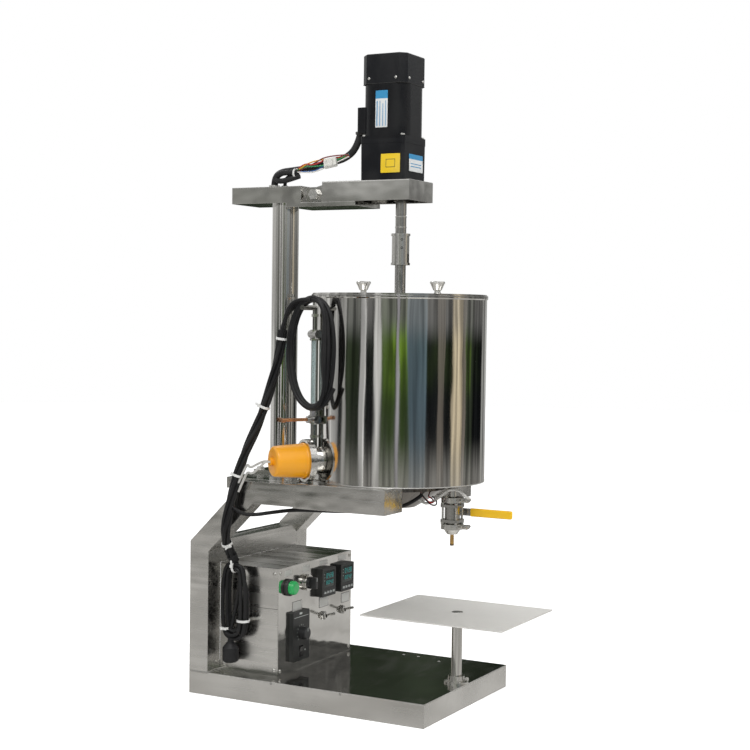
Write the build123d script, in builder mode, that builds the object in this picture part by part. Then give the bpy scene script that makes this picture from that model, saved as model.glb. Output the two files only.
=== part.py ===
from build123d import *
import math
import os

os.makedirs("parts", exist_ok=True)

# Heated filling machine in millimetres, Z up, front towards -Y.
# The origin lies on the floor, under the middle of the tube frame.

# Frame
frame_width = 348.0
frame_length = 484.0
tube = 40.0
tube_wall = 2.0
sheet = 1.5
brace_foot_height = 273.5
arm_top = 399.0
arm_reach = 160.0
cross_tube_height = 260.0
sleeve_wall = 2.0
sleeve_width = 66.0
sleeve_length = 175.7
deck_length = 135.0
deck_thickness = 3.0
deck_overhang = 38.0
deck_lip = 20.0

# Column and beam
column_diameter = 50.0
column_wall = 2.5
column_y = 152.0
column_flange = 84.0
flange_thickness = 6.0
flange_corner = 6.0
beam_width = 96.0
beam_height = 30.7
beam_rise = 171.0
beam_wall = 2.0
beam_front_y = 89.8
tongue_thickness = 8.0
tongue_front_y = -25.0
tongue_rear_y = 122.0
pivot_y = 68.0
pivot_height = 15.3
pivot_diameter = 12.0
running_fit = 0.05
lug_width = 56.0
lug_radius = 14.0
ear_thickness = 4.0
ear_gap = 1.0
ear_radius = 13.0
bolt_head_radius = 10.4
bolt_head_height = 8.0
gland_collar_radius = 10.5
gland_collar_height = 4.0

# Motor arm
tray_front_y = -134.4
tray_rear_y = 44.8
tray_rise = 6.5
tray_sheet = 3.0
tray_corner = 2.0
rest_gap = 0.3
gearbox_width = 90.0
gearbox_height = 74.0
gearbox_wall = 6.0
gearbox_taper = 2.0
gearbox_lip = 8.0
gearbox_corner = 6.0
shaft_offset = 18.0
motor_height = 98.0
motor_corner = 26.0
motor_foot_height = 5.0
terminal_size = (34.0, 20.0, 46.0)
terminal_lift = 12.0
terminal_corner = 5.0
cap_height = 54.0
cap_wall = 1.5
cap_chamfer = 12.0
cap_corner = 3.0
shaft_diameter = 20.0
boss_diameter = 34.0
boss_stand_out = 4.0
groove_drop = 25.7
groove_depth = 1.0
groove_width = 2.0
coupling_diameter = 32.0
coupling_rise = 56.3
coupling_length = 57.0
coupling_ring = 35.0
ring_height = 4.0
slot_width = 6.4
slot_depth = 20.0
slot_clearance = 0.2
set_screw_radius = 2.5
set_screw_drop = 14.0

# Tank
tank_diameter = 317.2
tank_y = -94.5
tank_height = 334.7
tank_wall = 2.0
rim_lip = 2.0
rim_lip_height = 4.0
dish_radius = 92.0
dish_skirt = 14.0
dish_depth = 35.0
dish_floor_radius = 35.0
dish_crown = 3.0
jacket_gap = 15.6
hopper_lift = 69.0
foot_bush_radius = 14.0
foot_bush_height = 14.0
foot_diameter = 16.0
outlet_inset = 46.1
outlet_diameter = 16.0
outlet_wall = 2.0
lid_thickness = 2.0
lid_split = 1.0
lid_hole_radius = 22.0
knob_distance = 76.0
knob_height = 23.0
knob_radius = 13.5
knob_base_radius = 7.0
knob_neck_radius = 5.0
blade_span = 118.0
blade_height = 46.0
blade_thickness = 4.0
blade_rises = (42.0, 120.0)

# Heater and level gauge on the tank wall
heater_angle = 143.0
heater_clearance = 1.0
socket_radius = 25.4
socket_stub = 4.0
clamp_stand_out = 16.9
ferrule_radius = 32.0
ferrule_thickness = 3.0
gasket_thickness = 2.0
gasket_overhang = 1.5
heater_clamp_radius = 38.0
cap_length = 67.0
cap_end_radius = 27.0
cap_skin = 3.0
cap_nub_radius = 7.0
cap_nub_length = 6.0
cap_fillet = 5.0
rod_radius = 6.0
rod_spread = 13.0
rod_length = 210.0
gauge_stand_out = 7.9
gauge_pipe_radius = 6.0
cock_clearance = 35.0
cock_radius = 7.0
cock_length = 36.0
cock_spout = 14.0
glass_radius = 6.0
gland_radius = 7.6
glass_seat_rise = 17.0
glass_length = 128.0
glass_wall = 1.5
upper_port_rise = 7.0
port_radius = 5.0
guard_rod_radius = 2.0
guard_rod_offset = 11.0
vent_drop = 23.7
vent_radius = 4.5
vent_arm = 44.0
key_length = 56.0
key_radius = 3.0
key_depth = 6.0
key_handle = (30.0, 7.0, 6.0)

# Outlet valve
valve_drop = 5.0
valve_body_length = 22.0
valve_body_radius = 14.0
valve_flange = 35.0
valve_flange_thickness = 5.0
valve_flange_corner = 6.0
tie_rod_radius = 2.0
tie_rod_clearance = 0.1
tie_rod_inset = 4.5
tie_nut = (3.6, 3.0)
valve_ferrule_radius = 17.0
valve_clamp_radius = 20.5
valve_clamp_height = 9.0
valve_hub_length = 8.0
clamp_lug = (12.0, 13.0)
clamp_ring_gap = 0.3
ball_radius = 10.0
ball_clearance = 0.1
valve_bore_radius = 6.0
stem_radius = 4.0
stem_housing = 4.0
lever_x = 25.0
lever_thickness = 3.0
lever_height = 15.0
lever_length = 95.0
lever_nut = (6.0, 4.0)
grip_start = 25.0
grip_length = 78.0
grip_wall = 1.8
grip_corner = 2.5
reducer_height = 14.0
reducer_radius = 15.0
reducer_end_radius = 9.5
nozzle_radius = 3.5
nozzle_bore_radius = 2.3
nozzle_drop = 59.0
nozzle_spout_length = 18.0
nozzle_neck_radius = 3.2
nozzle_thread_length = 3.0

# Control box and what is on its panel
box_front_y = 75.0
box_rear_y = 201.0
box_top = 238.0
lamp_x = -101.0
selector_x = -38.0
lamp_bezel_radius = 15.0
lamp_bezel_height = 7.0
lamp_depth = 34.0
lens_radius = 13.0
lens_height = 10.0
lens_seat = 3.0
lens_clearance = 0.1
selector_ring_radius = 14.5
selector_ring_height = 8.0
selector_depth = 40.0
selector_radius = 11.0
selector_seat = 4.0
selector_bar = (8.0, 21.0, 14.0)
controller_x = (26.0, 96.5)
upper_row_z = 200.0
controller_z = 192.5
controller_width = 50.0
controller_height = 53.0
controller_depth = 13.0
controller_body = 44.0
controller_body_depth = 70.0
display_size = (40.0, 32.0)
display_rise = 6.0
display_depth = 1.0
key_size = (7.0, 4.5)
key_pitch = 10.5
key_drop = 18.5
key_clearance = 0.3
key_proud = 1.2
key_pocket = 3.0
key_travel_depth = 1.5
barrel_radius = 11.0
panel_clearance = 0.15
speed_x = -66.0
speed_z = 106.0
speed_width = 58.0
speed_height = 92.0
speed_depth = 8.0
speed_body = (48.0, 82.0, 42.0)
speed_knob_z = 111.0
speed_knob_radius = 11.0
speed_knob_height = 14.0
knob_spindle_radius = 3.0
knob_spindle_depth = 9.0
rocker_z = 77.0
rocker_size = (12.0, 20.0)
rocker_tilt = 8.0
rocker_clearance = 0.4
rocker_pocket = 12.0
rocker_half_depth = 4.0
rocker_pin_radius = 1.5
rocker_pin_reach = 0.8
toggle_x = (26.0, 98.0)
toggle_z = 127.0
toggle_tilt = 15.0
toggle_length = 25.0
toggle_rod = 1.8
toggle_nose = 8.0
toggle_mouth = 3.9
toggle_barrel = 5.5
toggle_nut = (8.0, 3.0)
toggle_housing = (13.0, 18.0, 20.0)
toggle_pin_radius = 2.0
toggle_pin_length = 5.6
gear_blocks = ((-75.0, 190.0, 45.0, 62.0), (0.0, 190.0, 45.0, 62.0), (70.0, 150.0, 90.0, 22.0))
gear_depth = 28.0

# Bottle platform
platform_setback = 22.0
platform_size = (230.0, 275.0)
platform_height = 169.0
platform_sheet = 2.5
post_diameter = 19.0
post_flange = 44.0
post_flange_thickness = 3.0
collar_diameter = 30.0
collar_height = 10.0
socket_wall = 3.0
post_depth = 36.0
spigot_radius = 6.0
spigot_length = 8.0
hub_height = 10.0
hub_wall = 5.0
thumb_hole_radius = 2.5
socket_floor = 1.7

# Cables: a hank over the gauge, a bundle down the brace, a hank beside the box
bundle_diameter = 16.0
hank_diameter = 18.0
hank_x = -168.0
hank_y = -13.0
hank_width = 94.0
hank_drop = 196.0
hank_bend = 44.0
hank_lift = 4.8
drop_hank_diameter = 13.0
drop_x = -152.0
drop_y = 158.0
drop_top = 238.0
drop_hank_width = 27.0
drop_hank_length = 120.0
drop_bend = 13.0
bundle_route = [
    (-166, 52.5, 672),
    (-166, 57, 636),
    (-164, 71, 590),
    (-163, 88, 540),
    (-168, 104, 496),
    (-179, 119, 455),
    (-188, 131, 410),
    (-190, 146, 358),
    (-188, 157, 307),
    (-173, 162, 277),
    (-153, 158, 248),
]
lead_diameter = 14.0
lead_route = [
    (-23, -20.5, 1029.6),
    (-24, -14, 1004),
    (-25, 12, 985),
    (-27, 46, 980),
    (-28, 84, 971),
    (-29, 118, 968),
    (-28, 146, 966),
    (-28, 160, 955),
    (-28, 160, 937.7),
]
plug_y = 166.0
plug_radius = 15.0
plug_bottom = 62.0
plug_top = 111.4
plug_edge = 3.0
plug_barrel_length = 26.0
plug_taper_length = 34.0
plug_neck_start = 37.0
plug_neck_radius = 4.5

rear_y = frame_length / 2
front_y = -rear_y
half_width = frame_width / 2
side_x = half_width - tube / 2
inner_x = half_width - tube
base_top = tube + sheet
upright_y = rear_y - tube / 2
arm_z = arm_top - tube / 2
sleeve_top = arm_top + sleeve_wall
tank_radius = tank_diameter / 2
tank_bottom = sleeve_top
hopper_radius = tank_radius - jacket_gap
clamp_start = tank_radius + clamp_stand_out
gauge_distance = tank_radius + gauge_stand_out
tank_top = tank_bottom + tank_height
dish_edge = tank_bottom - dish_skirt
dish_floor = dish_edge - dish_depth
valve_height = dish_floor - valve_drop
nozzle_tip = valve_height - nozzle_drop
hopper_floor = tank_bottom + hopper_lift
blade_levels = [hopper_floor + rise for rise in blade_rises]
outlet_y = tank_y - tank_radius + outlet_inset
heater_height = tank_bottom + heater_clamp_radius + heater_clearance
cock_height = heater_height + heater_clamp_radius + cock_clearance
glass_bottom = cock_height + glass_seat_rise
glass_top = glass_bottom + glass_length
vent_top = tank_top - vent_drop
coupling_bottom = tank_top + coupling_rise
coupling_top = coupling_bottom + coupling_length
beam_bottom = tank_top + beam_rise
groove_z = beam_bottom - groove_drop
beam_top = beam_bottom + beam_height
tray_top = beam_top + tray_rise
platform_y = front_y + platform_setback
pivot_z = beam_bottom + pivot_height
hank_top = vent_top + vent_radius + hank_diameter / 2 + hank_lift
tray_bottom = beam_bottom + rest_gap
shaft_radius = shaft_diameter / 2
gearbox_y = tank_y + shaft_offset
gearbox_top = tray_top + gearbox_height
motor_top = gearbox_top + motor_height
rim_top = tank_top + sheet
post_radius = post_diameter / 2


def save(builder, label):
    builder.part.label = label
    export_step(builder.part, f"parts/{label}.step")


def level(z):
    return Plane.XY.offset(z)


def front_plane(y):
    return Plane.XZ.offset(-y)


def side_plane(x):
    return Plane.YZ.offset(x)


def wall_plane(angle, height, distance):
    """Plane whose normal points out of the tank wall."""
    turn = math.radians(angle)
    outward = Vector(math.cos(turn), math.sin(turn), 0)
    tangent = Vector(-math.sin(turn), math.cos(turn), 0)
    origin = Vector(0, tank_y, height) + outward * distance
    return Plane(origin=origin, x_dir=tangent, z_dir=outward)


def upright_axis(x, y):
    return Axis((x, y, 0), (0, 0, 1))


def mitred_sides(path, half):
    """Both outlines of a mitred tube whose centre line is a path of points."""
    left, right = [], []
    for i, (y, z) in enumerate(path):
        before = path[max(i - 1, 0)]
        after = path[min(i + 1, len(path) - 1)]
        start = math.atan2(z - before[1], y - before[0]) if i > 0 else None
        end = math.atan2(after[1] - z, after[0] - y) if i < len(path) - 1 else None
        first = start if start is not None else end
        last = end if end is not None else start
        middle = (first + last) / 2
        reach = half / math.cos((last - first) / 2)
        shift = (-math.sin(middle) * reach, math.cos(middle) * reach)
        left.append((y + shift[0], z + shift[1]))
        right.append((y - shift[0], z - shift[1]))
    return left + right[::-1]


# Welded base frame of square tube
def make_base_frame():
    with BuildPart() as base:
        with BuildSketch(Plane.XY):
            Rectangle(frame_width, frame_length)
            Rectangle(frame_width - 2 * tube, frame_length - 2 * tube, mode=Mode.SUBTRACT)
        extrude(amount=tube)
        with BuildSketch(level(tube_wall)):
            Rectangle(frame_width - 2 * tube_wall, frame_length - 2 * tube_wall)
            inside = 2 * (tube - tube_wall)
            Rectangle(frame_width - inside, frame_length - inside, mode=Mode.SUBTRACT)
        extrude(amount=tube - 2 * tube_wall, mode=Mode.SUBTRACT)
        with BuildSketch(level(tube - tube_wall)):
            with Locations((0, platform_y)):
                Circle(post_radius + socket_wall + panel_clearance)
        extrude(amount=tube_wall, mode=Mode.SUBTRACT)
    save(base, "base_frame")


# Sheet on the base, with the hole for the platform socket
def make_base_sheet():
    with BuildPart() as plate:
        with BuildSketch(level(tube)):
            Rectangle(frame_width, frame_length)
            with Locations((0, platform_y)):
                Circle(post_radius + socket_wall + panel_clearance, mode=Mode.SUBTRACT)
        extrude(amount=sheet)
    save(plate, "base_sheet")


# Side frames: upright, 45 degree brace and arm, mitred and welded
def make_side_frame(label, x):
    rise = arm_z - brace_foot_height
    path = [
        (upright_y, base_top),
        (upright_y, brace_foot_height),
        (upright_y - rise, arm_z),
        (-arm_reach, arm_z),
    ]
    with BuildPart() as frame:
        with BuildSketch(side_plane(x)):
            Polygon(*mitred_sides(path, tube / 2), align=None)
        extrude(amount=tube / 2, both=True)
        with BuildSketch(side_plane(x)):
            Polygon(*mitred_sides(path, tube / 2 - tube_wall), align=None)
        extrude(amount=tube / 2 - tube_wall, both=True, mode=Mode.SUBTRACT)
    save(frame, label)


def make_rear_cross_tube():
    with BuildPart() as cross:
        with BuildSketch(side_plane(-inner_x)):
            with Locations((upright_y, cross_tube_height)):
                Rectangle(tube, tube)
                Rectangle(tube - 2 * tube_wall, tube - 2 * tube_wall, mode=Mode.SUBTRACT)
        extrude(amount=2 * inner_x)
    save(cross, "rear_cross_tube")


# Folded sleeves over the arms: the tank stands on them
def make_arm_sleeves():
    outer_x = half_width + sleeve_wall
    height = tube + 2 * sleeve_wall
    with BuildPart() as sleeves:
        for side in (-1, 1):
            middle_x = side * (outer_x - sleeve_width / 2)
            with BuildSketch(front_plane(sleeve_length - arm_reach)):
                with Locations((middle_x, arm_z)):
                    Rectangle(sleeve_width, height)
                    inside = sleeve_width - 2 * sleeve_wall
                    Rectangle(inside, tube, mode=Mode.SUBTRACT)
            extrude(amount=sleeve_length)
            with BuildSketch(front_plane(-arm_reach)):
                with Locations((middle_x, arm_z)):
                    Rectangle(sleeve_width, height)
            extrude(amount=sleeve_wall)
    save(sleeves, "arm_sleeves")


# Sheet between the arms that carries the column
def make_deck_plate():
    rear = column_y + deck_overhang
    with BuildPart() as deck:
        with BuildSketch(level(arm_top - deck_thickness)):
            with Locations((0, rear - deck_length / 2)):
                Rectangle(2 * inner_x, deck_length)
        extrude(amount=deck_thickness)
        for y in (rear - deck_length, rear - deck_thickness):
            with BuildSketch(level(arm_top - deck_lip)):
                with Locations((0, y + deck_thickness / 2)):
                    Rectangle(2 * inner_x, deck_thickness)
            extrude(amount=deck_lip)
    save(deck, "deck_plate")


def make_column():
    with BuildPart() as column:
        with BuildSketch(level(arm_top)):
            with Locations((0, column_y)):
                RectangleRounded(column_flange, column_flange, flange_corner)
        extrude(amount=flange_thickness)
        with BuildSketch(level(arm_top)):
            with Locations((0, column_y)):
                Circle(column_diameter / 2)
        extrude(amount=beam_bottom - arm_top)
        with BuildSketch(level(arm_top)):
            with Locations((0, column_y)):
                Circle(column_diameter / 2 - column_wall)
        extrude(amount=beam_bottom - arm_top, mode=Mode.SUBTRACT)
    save(column, "column")


# Fixed rear beam: box, tongue plate that the tray rests on, pivot lug and lead gland
def make_rear_beam():
    middle_z = (beam_bottom + beam_top) / 2
    with BuildPart() as beam:
        with BuildSketch(front_plane(rear_y)):
            with Locations((0, middle_z)):
                Rectangle(beam_width, beam_height)
        extrude(amount=rear_y - beam_front_y)
        with BuildSketch(front_plane(rear_y - beam_wall)):
            with Locations((0, middle_z)):
                Rectangle(beam_width - 2 * beam_wall, beam_height - 2 * beam_wall)
        extrude(amount=rear_y - beam_front_y - 2 * beam_wall, mode=Mode.SUBTRACT)
        with BuildSketch(level(beam_bottom - tongue_thickness)):
            with Locations((0, (tongue_front_y + tongue_rear_y) / 2)):
                Rectangle(beam_width, tongue_rear_y - tongue_front_y)
        extrude(amount=tongue_thickness)
        with BuildSketch(side_plane(0)):
            with Locations((pivot_y, pivot_z)):
                Circle(lug_radius)
            run = beam_front_y - pivot_y
            with Locations((pivot_y + run / 2, pivot_z)):
                Rectangle(run, 2 * lug_radius)
            with Locations((pivot_y + (run - lug_radius) / 2, (beam_bottom + pivot_z) / 2)):
                Rectangle(run + lug_radius, pivot_height)
        extrude(amount=lug_width / 2, both=True)
        with BuildSketch(side_plane(0)):
            with Locations((pivot_y, pivot_z)):
                Circle(pivot_diameter / 2 + running_fit)
        extrude(amount=lug_width, both=True, mode=Mode.SUBTRACT)
        with BuildSketch(level(beam_top)):
            with Locations(lead_route[-1][:2]):
                Circle(gland_collar_radius)
                Circle(lead_diameter / 2 + rest_gap, mode=Mode.SUBTRACT)
        extrude(amount=gland_collar_height)
    save(beam, "rear_beam")


# Tilting motor tray: folded channel with two ears on the pivot bolt
def make_motor_tray():
    ear_x = lug_width / 2 + ear_gap
    with BuildPart() as tray:
        with BuildSketch(front_plane(tray_rear_y)):
            with Locations((0, (tray_bottom + tray_top) / 2)):
                Rectangle(beam_width, tray_top - tray_bottom)
            inside = beam_width - 2 * tray_sheet
            with Locations((0, (tray_bottom + tray_top) / 2 - tray_sheet)):
                Rectangle(inside, tray_top - tray_bottom, mode=Mode.SUBTRACT)
        extrude(amount=tray_rear_y - tray_front_y)
        with BuildSketch(front_plane(tray_front_y + tray_sheet)):
            with Locations((0, (tray_bottom + tray_top) / 2)):
                Rectangle(beam_width, tray_top - tray_bottom)
        extrude(amount=tray_sheet)
        for x in (-ear_x - ear_thickness, ear_x):
            with BuildSketch(side_plane(x)):
                with Locations((pivot_y, pivot_z)):
                    Circle(ear_radius)
                ear_bottom = pivot_z - ear_radius
                Polygon(
                    (0, tray_top - tray_sheet),
                    (tray_rear_y, tray_top - tray_sheet),
                    (pivot_y, pivot_z + ear_radius),
                    (pivot_y, ear_bottom),
                    (0, ear_bottom),
                    align=None,
                )
                with Locations((pivot_y, pivot_z)):
                    Circle(pivot_diameter / 2 + running_fit, mode=Mode.SUBTRACT)
            extrude(amount=ear_thickness)
        with BuildSketch(level(tray_top - tray_sheet)):
            with Locations((0, tank_y)):
                Circle(boss_diameter / 2 + running_fit)
        extrude(amount=tray_sheet, mode=Mode.SUBTRACT)
        fillet(tray.edges().filter_by(Axis.Y).group_by(Axis.Z)[-1], tray_corner)
    save(tray, "motor_tray")


def make_pivot_bolt():
    outer = lug_width / 2 + ear_gap + ear_thickness + ear_gap / 2
    with BuildPart() as bolt:
        with BuildSketch(side_plane(-outer)):
            with Locations((pivot_y, pivot_z)):
                Circle(pivot_diameter / 2)
        extrude(amount=2 * outer)
        for start in (-outer - bolt_head_height, outer):
            with BuildSketch(side_plane(start)):
                with Locations((pivot_y, pivot_z)):
                    RegularPolygon(bolt_head_radius, 6)
            extrude(amount=bolt_head_height)
    save(bolt, "pivot_bolt")


# Square gearbox with its output boss, hollow for the gears
def make_gearbox():
    foot = gearbox_width - gearbox_taper
    shoulder = gearbox_width - gearbox_taper / 2
    with BuildPart() as gearbox:
        with BuildSketch(level(tray_top)):
            with Locations((0, gearbox_y)):
                RectangleRounded(foot, foot, gearbox_corner)
        with BuildSketch(level(gearbox_top - gearbox_lip)):
            with Locations((0, gearbox_y)):
                RectangleRounded(shoulder, shoulder, gearbox_corner)
        loft()
        with BuildSketch(level(gearbox_top - gearbox_lip)):
            with Locations((0, gearbox_y)):
                RectangleRounded(gearbox_width, gearbox_width, gearbox_corner)
        extrude(amount=gearbox_lip)
        with BuildSketch(level(tray_top + gearbox_wall)):
            with Locations((0, gearbox_y)):
                inside = gearbox_width - 2 * gearbox_wall
                RectangleRounded(inside, inside, gearbox_corner / 2)
        extrude(amount=gearbox_height - gearbox_wall, mode=Mode.SUBTRACT)
        with BuildSketch(level(tray_top - boss_height())):
            with Locations((0, tank_y)):
                Circle(boss_diameter / 2)
        extrude(amount=boss_height() + gearbox_wall)
        with BuildSketch(level(tray_top - boss_height())):
            with Locations((0, tank_y)):
                Circle(shaft_radius + running_fit)
        extrude(amount=boss_height() + gearbox_wall, mode=Mode.SUBTRACT)
    save(gearbox, "gearbox")


def boss_height():
    return tray_sheet + boss_stand_out


# Motor body with its terminal hump on the rear left corner
def make_motor_body():
    with BuildPart() as motor:
        with BuildSketch(level(gearbox_top)):
            with Locations((0, gearbox_y)):
                RectangleRounded(gearbox_width, gearbox_width, motor_corner)
        extrude(amount=motor_height)
        with BuildSketch(level(gearbox_top)):
            with Locations((0, gearbox_y)):
                RectangleRounded(gearbox_width, gearbox_width, gearbox_corner)
        extrude(amount=motor_foot_height)
        with BuildSketch(level(gearbox_top + terminal_lift)):
            with Locations((-gearbox_width / 4, gearbox_y + gearbox_width / 2)):
                RectangleRounded(terminal_size[0], terminal_size[1], terminal_corner)
        extrude(amount=terminal_size[2])
    save(motor, "motor_body")


# Fan cover: hollow cap with chamfered corners
def make_fan_cover():
    with BuildPart() as cover:
        with BuildSketch(level(motor_top)):
            with Locations((0, gearbox_y)):
                Rectangle(gearbox_width, gearbox_width)
            chamfer(vertices(), cap_chamfer)
        extrude(amount=cap_height)
        fillet(cover.faces().sort_by(Axis.Z)[-1].edges(), cap_corner)
        with BuildSketch(level(motor_top)):
            with Locations((0, gearbox_y)):
                inside = gearbox_width - 2 * cap_wall
                Rectangle(inside, inside)
            chamfer(vertices(), cap_chamfer)
        extrude(amount=cap_height - cap_wall, mode=Mode.SUBTRACT)
    save(cover, "fan_cover")


# Gearbox output shaft, from inside the gearbox into the coupling
def make_output_shaft():
    bottom = coupling_bottom + slot_depth + 2
    top = tray_top + gearbox_height / 2
    with BuildPart() as shaft:
        with BuildSketch(level(bottom)):
            with Locations((0, tank_y)):
                Circle(shaft_radius)
        extrude(amount=top - bottom)
        with BuildSketch(level(groove_z)):
            with Locations((0, tank_y)):
                Circle(shaft_radius)
                Circle(shaft_radius - groove_depth, mode=Mode.SUBTRACT)
        extrude(amount=groove_width, mode=Mode.SUBTRACT)
    save(shaft, "output_shaft")


# Coupling: bored for the output shaft above, slotted along Y below
def make_coupling_sleeve():
    with BuildPart() as sleeve:
        with BuildSketch(level(coupling_bottom)):
            with Locations((0, tank_y)):
                Circle(coupling_diameter / 2)
        extrude(amount=coupling_top - coupling_bottom)
        for z in (coupling_bottom, coupling_top - ring_height):
            with BuildSketch(level(z)):
                with Locations((0, tank_y)):
                    Circle(coupling_ring / 2)
            extrude(amount=ring_height)
        bore_bottom = coupling_bottom + slot_depth + 2
        with BuildSketch(level(bore_bottom)):
            with Locations((0, tank_y)):
                Circle(shaft_radius + running_fit)
        extrude(amount=coupling_top - bore_bottom, mode=Mode.SUBTRACT)
        with BuildSketch(level(coupling_bottom)):
            with Locations((0, tank_y)):
                Rectangle(slot_width, 2 * coupling_ring)
        extrude(amount=slot_depth, mode=Mode.SUBTRACT)
        with BuildSketch(side_plane(0)):
            with Locations((tank_y, coupling_top - set_screw_drop)):
                Circle(set_screw_radius)
        extrude(amount=coupling_ring, mode=Mode.SUBTRACT)
    save(sleeve, "coupling_sleeve")


# Stirrer: driven tongue, shaft, pitched blades and foot, welded together
def make_stirrer():
    shoulder = coupling_bottom - rest_gap
    foot_z = hopper_floor + foot_bush_height + rest_gap
    with BuildPart() as stirrer:
        with BuildSketch(level(foot_z)):
            with Locations((0, tank_y)):
                Circle(shaft_radius)
        extrude(amount=shoulder - foot_z)
        with BuildSketch(level(shoulder)):
            with Locations((0, tank_y)):
                Rectangle(slot_width - 2 * slot_clearance, shaft_diameter - 2)
        extrude(amount=slot_depth - 1)
        with BuildSketch(level(hopper_floor + tank_wall + rest_gap)):
            with Locations((0, tank_y)):
                Circle(foot_diameter / 2)
        extrude(amount=foot_z - hopper_floor - tank_wall - rest_gap)
        for i, z in enumerate(blade_levels):
            for turn in (0, 180):
                with BuildSketch(tilted_blade_plane(z, turn + 90 * i)):
                    Rectangle(blade_height, blade_thickness)
                extrude(amount=blade_span)
    save(stirrer, "stirrer")


def tilted_blade_plane(z, turn):
    angle = math.radians(turn)
    outward = Vector(math.cos(angle), math.sin(angle), 0)
    across = Vector(-math.sin(angle), math.cos(angle), 1).normalized()
    return Plane(origin=(0, tank_y, z), x_dir=across, z_dir=outward)


# Jacket of the tank with its dished bottom
def make_tank_jacket():
    inner = tank_radius - tank_wall
    outline = [
        (inner, tank_top),
        (tank_radius + rim_lip, tank_top),
        (tank_radius + rim_lip, tank_top - rim_lip_height),
        (tank_radius, tank_top - rim_lip_height - rim_lip),
        (tank_radius, tank_bottom),
        (dish_radius, tank_bottom),
        (dish_radius, dish_edge),
        (dish_floor_radius, dish_floor),
        (0, dish_floor - dish_crown),
        (0, dish_floor - dish_crown + tank_wall),
        (dish_floor_radius - tank_wall / 2, dish_floor + tank_wall),
        (dish_radius - tank_wall, dish_edge + tank_wall / 2),
        (dish_radius - tank_wall, tank_bottom + tank_wall),
        (inner, tank_bottom + tank_wall),
    ]
    with BuildPart() as jacket:
        with BuildSketch(front_plane(tank_y)):
            Polygon(*outline, align=None)
        revolve(axis=upright_axis(0, tank_y))
        with BuildSketch(level(tank_bottom)):
            with Locations((0, outlet_y)):
                Circle(outlet_diameter / 2 + panel_clearance)
        extrude(amount=tank_wall, mode=Mode.SUBTRACT)
        with BuildSketch(wall_plane(heater_angle, heater_height, inner - 10)):
            Circle(socket_radius + panel_clearance)
        extrude(amount=30, mode=Mode.SUBTRACT)
        with BuildSketch(wall_plane(heater_angle, upper_port_z(), inner - 10)):
            Circle(port_radius + panel_clearance)
        extrude(amount=30, mode=Mode.SUBTRACT)
    save(jacket, "tank_jacket")


def upper_port_z():
    return glass_top + upper_port_rise


# Inner hopper with its flange, bottom bush and outlet pipe
def make_hopper():
    flange_radius = tank_radius + rim_lip
    with BuildPart() as hopper:
        with BuildSketch(front_plane(tank_y)):
            Polygon(
                (0, hopper_floor),
                (hopper_radius, hopper_floor),
                (hopper_radius, tank_top),
                (flange_radius, tank_top),
                (flange_radius, rim_top),
                (hopper_radius - tank_wall, rim_top),
                (hopper_radius - tank_wall, hopper_floor + tank_wall),
                (foot_bush_radius, hopper_floor + tank_wall),
                (foot_bush_radius, hopper_floor + foot_bush_height),
                (foot_diameter / 2 + running_fit, hopper_floor + foot_bush_height),
                (foot_diameter / 2 + running_fit, hopper_floor + tank_wall),
                (0, hopper_floor + tank_wall),
                align=None,
            )
        revolve(axis=upright_axis(0, tank_y))
        with BuildSketch(level(ferrule_joint_z())):
            with Locations((0, outlet_y)):
                Circle(outlet_diameter / 2)
        extrude(amount=hopper_floor - ferrule_joint_z())
        with BuildSketch(level(ferrule_joint_z())):
            with Locations((0, outlet_y)):
                Circle(valve_ferrule_radius)
        extrude(amount=ferrule_thickness)
        with BuildSketch(level(ferrule_joint_z())):
            with Locations((0, outlet_y)):
                Circle(outlet_diameter / 2 - outlet_wall)
        extrude(amount=hopper_floor + tank_wall - ferrule_joint_z(), mode=Mode.SUBTRACT)
    save(hopper, "hopper")


def valve_half():
    """From the valve centre to the sealing face of its ferrules."""
    return valve_body_length / 2 + valve_flange_thickness + valve_hub_length


def ferrule_joint_z():
    return valve_height + valve_half()


# Two half lids, each with a riveted knob
def make_lid(label, side):
    knob_y = tank_y + side * knob_distance
    with BuildPart() as lid:
        with BuildSketch(level(rim_top)):
            with Locations((0, tank_y)):
                Circle(tank_radius)
                Circle(lid_hole_radius, mode=Mode.SUBTRACT)
            with Locations((0, tank_y + side * (lid_split / 2 - tank_radius))):
                Rectangle(2 * tank_radius, 2 * tank_radius, mode=Mode.SUBTRACT)
        extrude(amount=lid_thickness)
        top = rim_top + lid_thickness
        with BuildSketch(front_plane(knob_y)):
            Polygon(
                (0, top),
                (knob_base_radius, top),
                (knob_neck_radius, top + 2),
                (knob_neck_radius, top + 6),
                (knob_base_radius + 1, top + 8),
                (knob_radius, top + knob_height - 2),
                (knob_radius - 2, top + knob_height),
                (0, top + knob_height),
                align=None,
            )
        revolve(axis=upright_axis(0, knob_y))
    save(lid, label)


# Heater socket on the jacket: tube and ferrule
def make_heater_socket():
    start = tank_radius - tank_wall - socket_stub
    with BuildPart() as socket:
        with BuildSketch(wall_plane(heater_angle, heater_height, start)):
            Circle(socket_radius)
        extrude(amount=clamp_start + ferrule_thickness - start)
        with BuildSketch(wall_plane(heater_angle, heater_height, clamp_start)):
            Circle(ferrule_radius)
        extrude(amount=ferrule_thickness)
        with BuildSketch(wall_plane(heater_angle, heater_height, start)):
            Circle(socket_radius - tank_wall)
        extrude(amount=clamp_start + ferrule_thickness - start, mode=Mode.SUBTRACT)
    save(socket, "heater_socket")


def make_heater_gasket():
    with BuildPart() as gasket:
        with BuildSketch(wall_plane(heater_angle, heater_height, clamp_start + ferrule_thickness)):
            Circle(ferrule_radius + gasket_overhang)
            Circle(socket_radius - tank_wall, mode=Mode.SUBTRACT)
        extrude(amount=gasket_thickness)
    save(gasket, "heater_gasket")


def heater_flange_start():
    return clamp_start + ferrule_thickness + gasket_thickness


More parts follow.
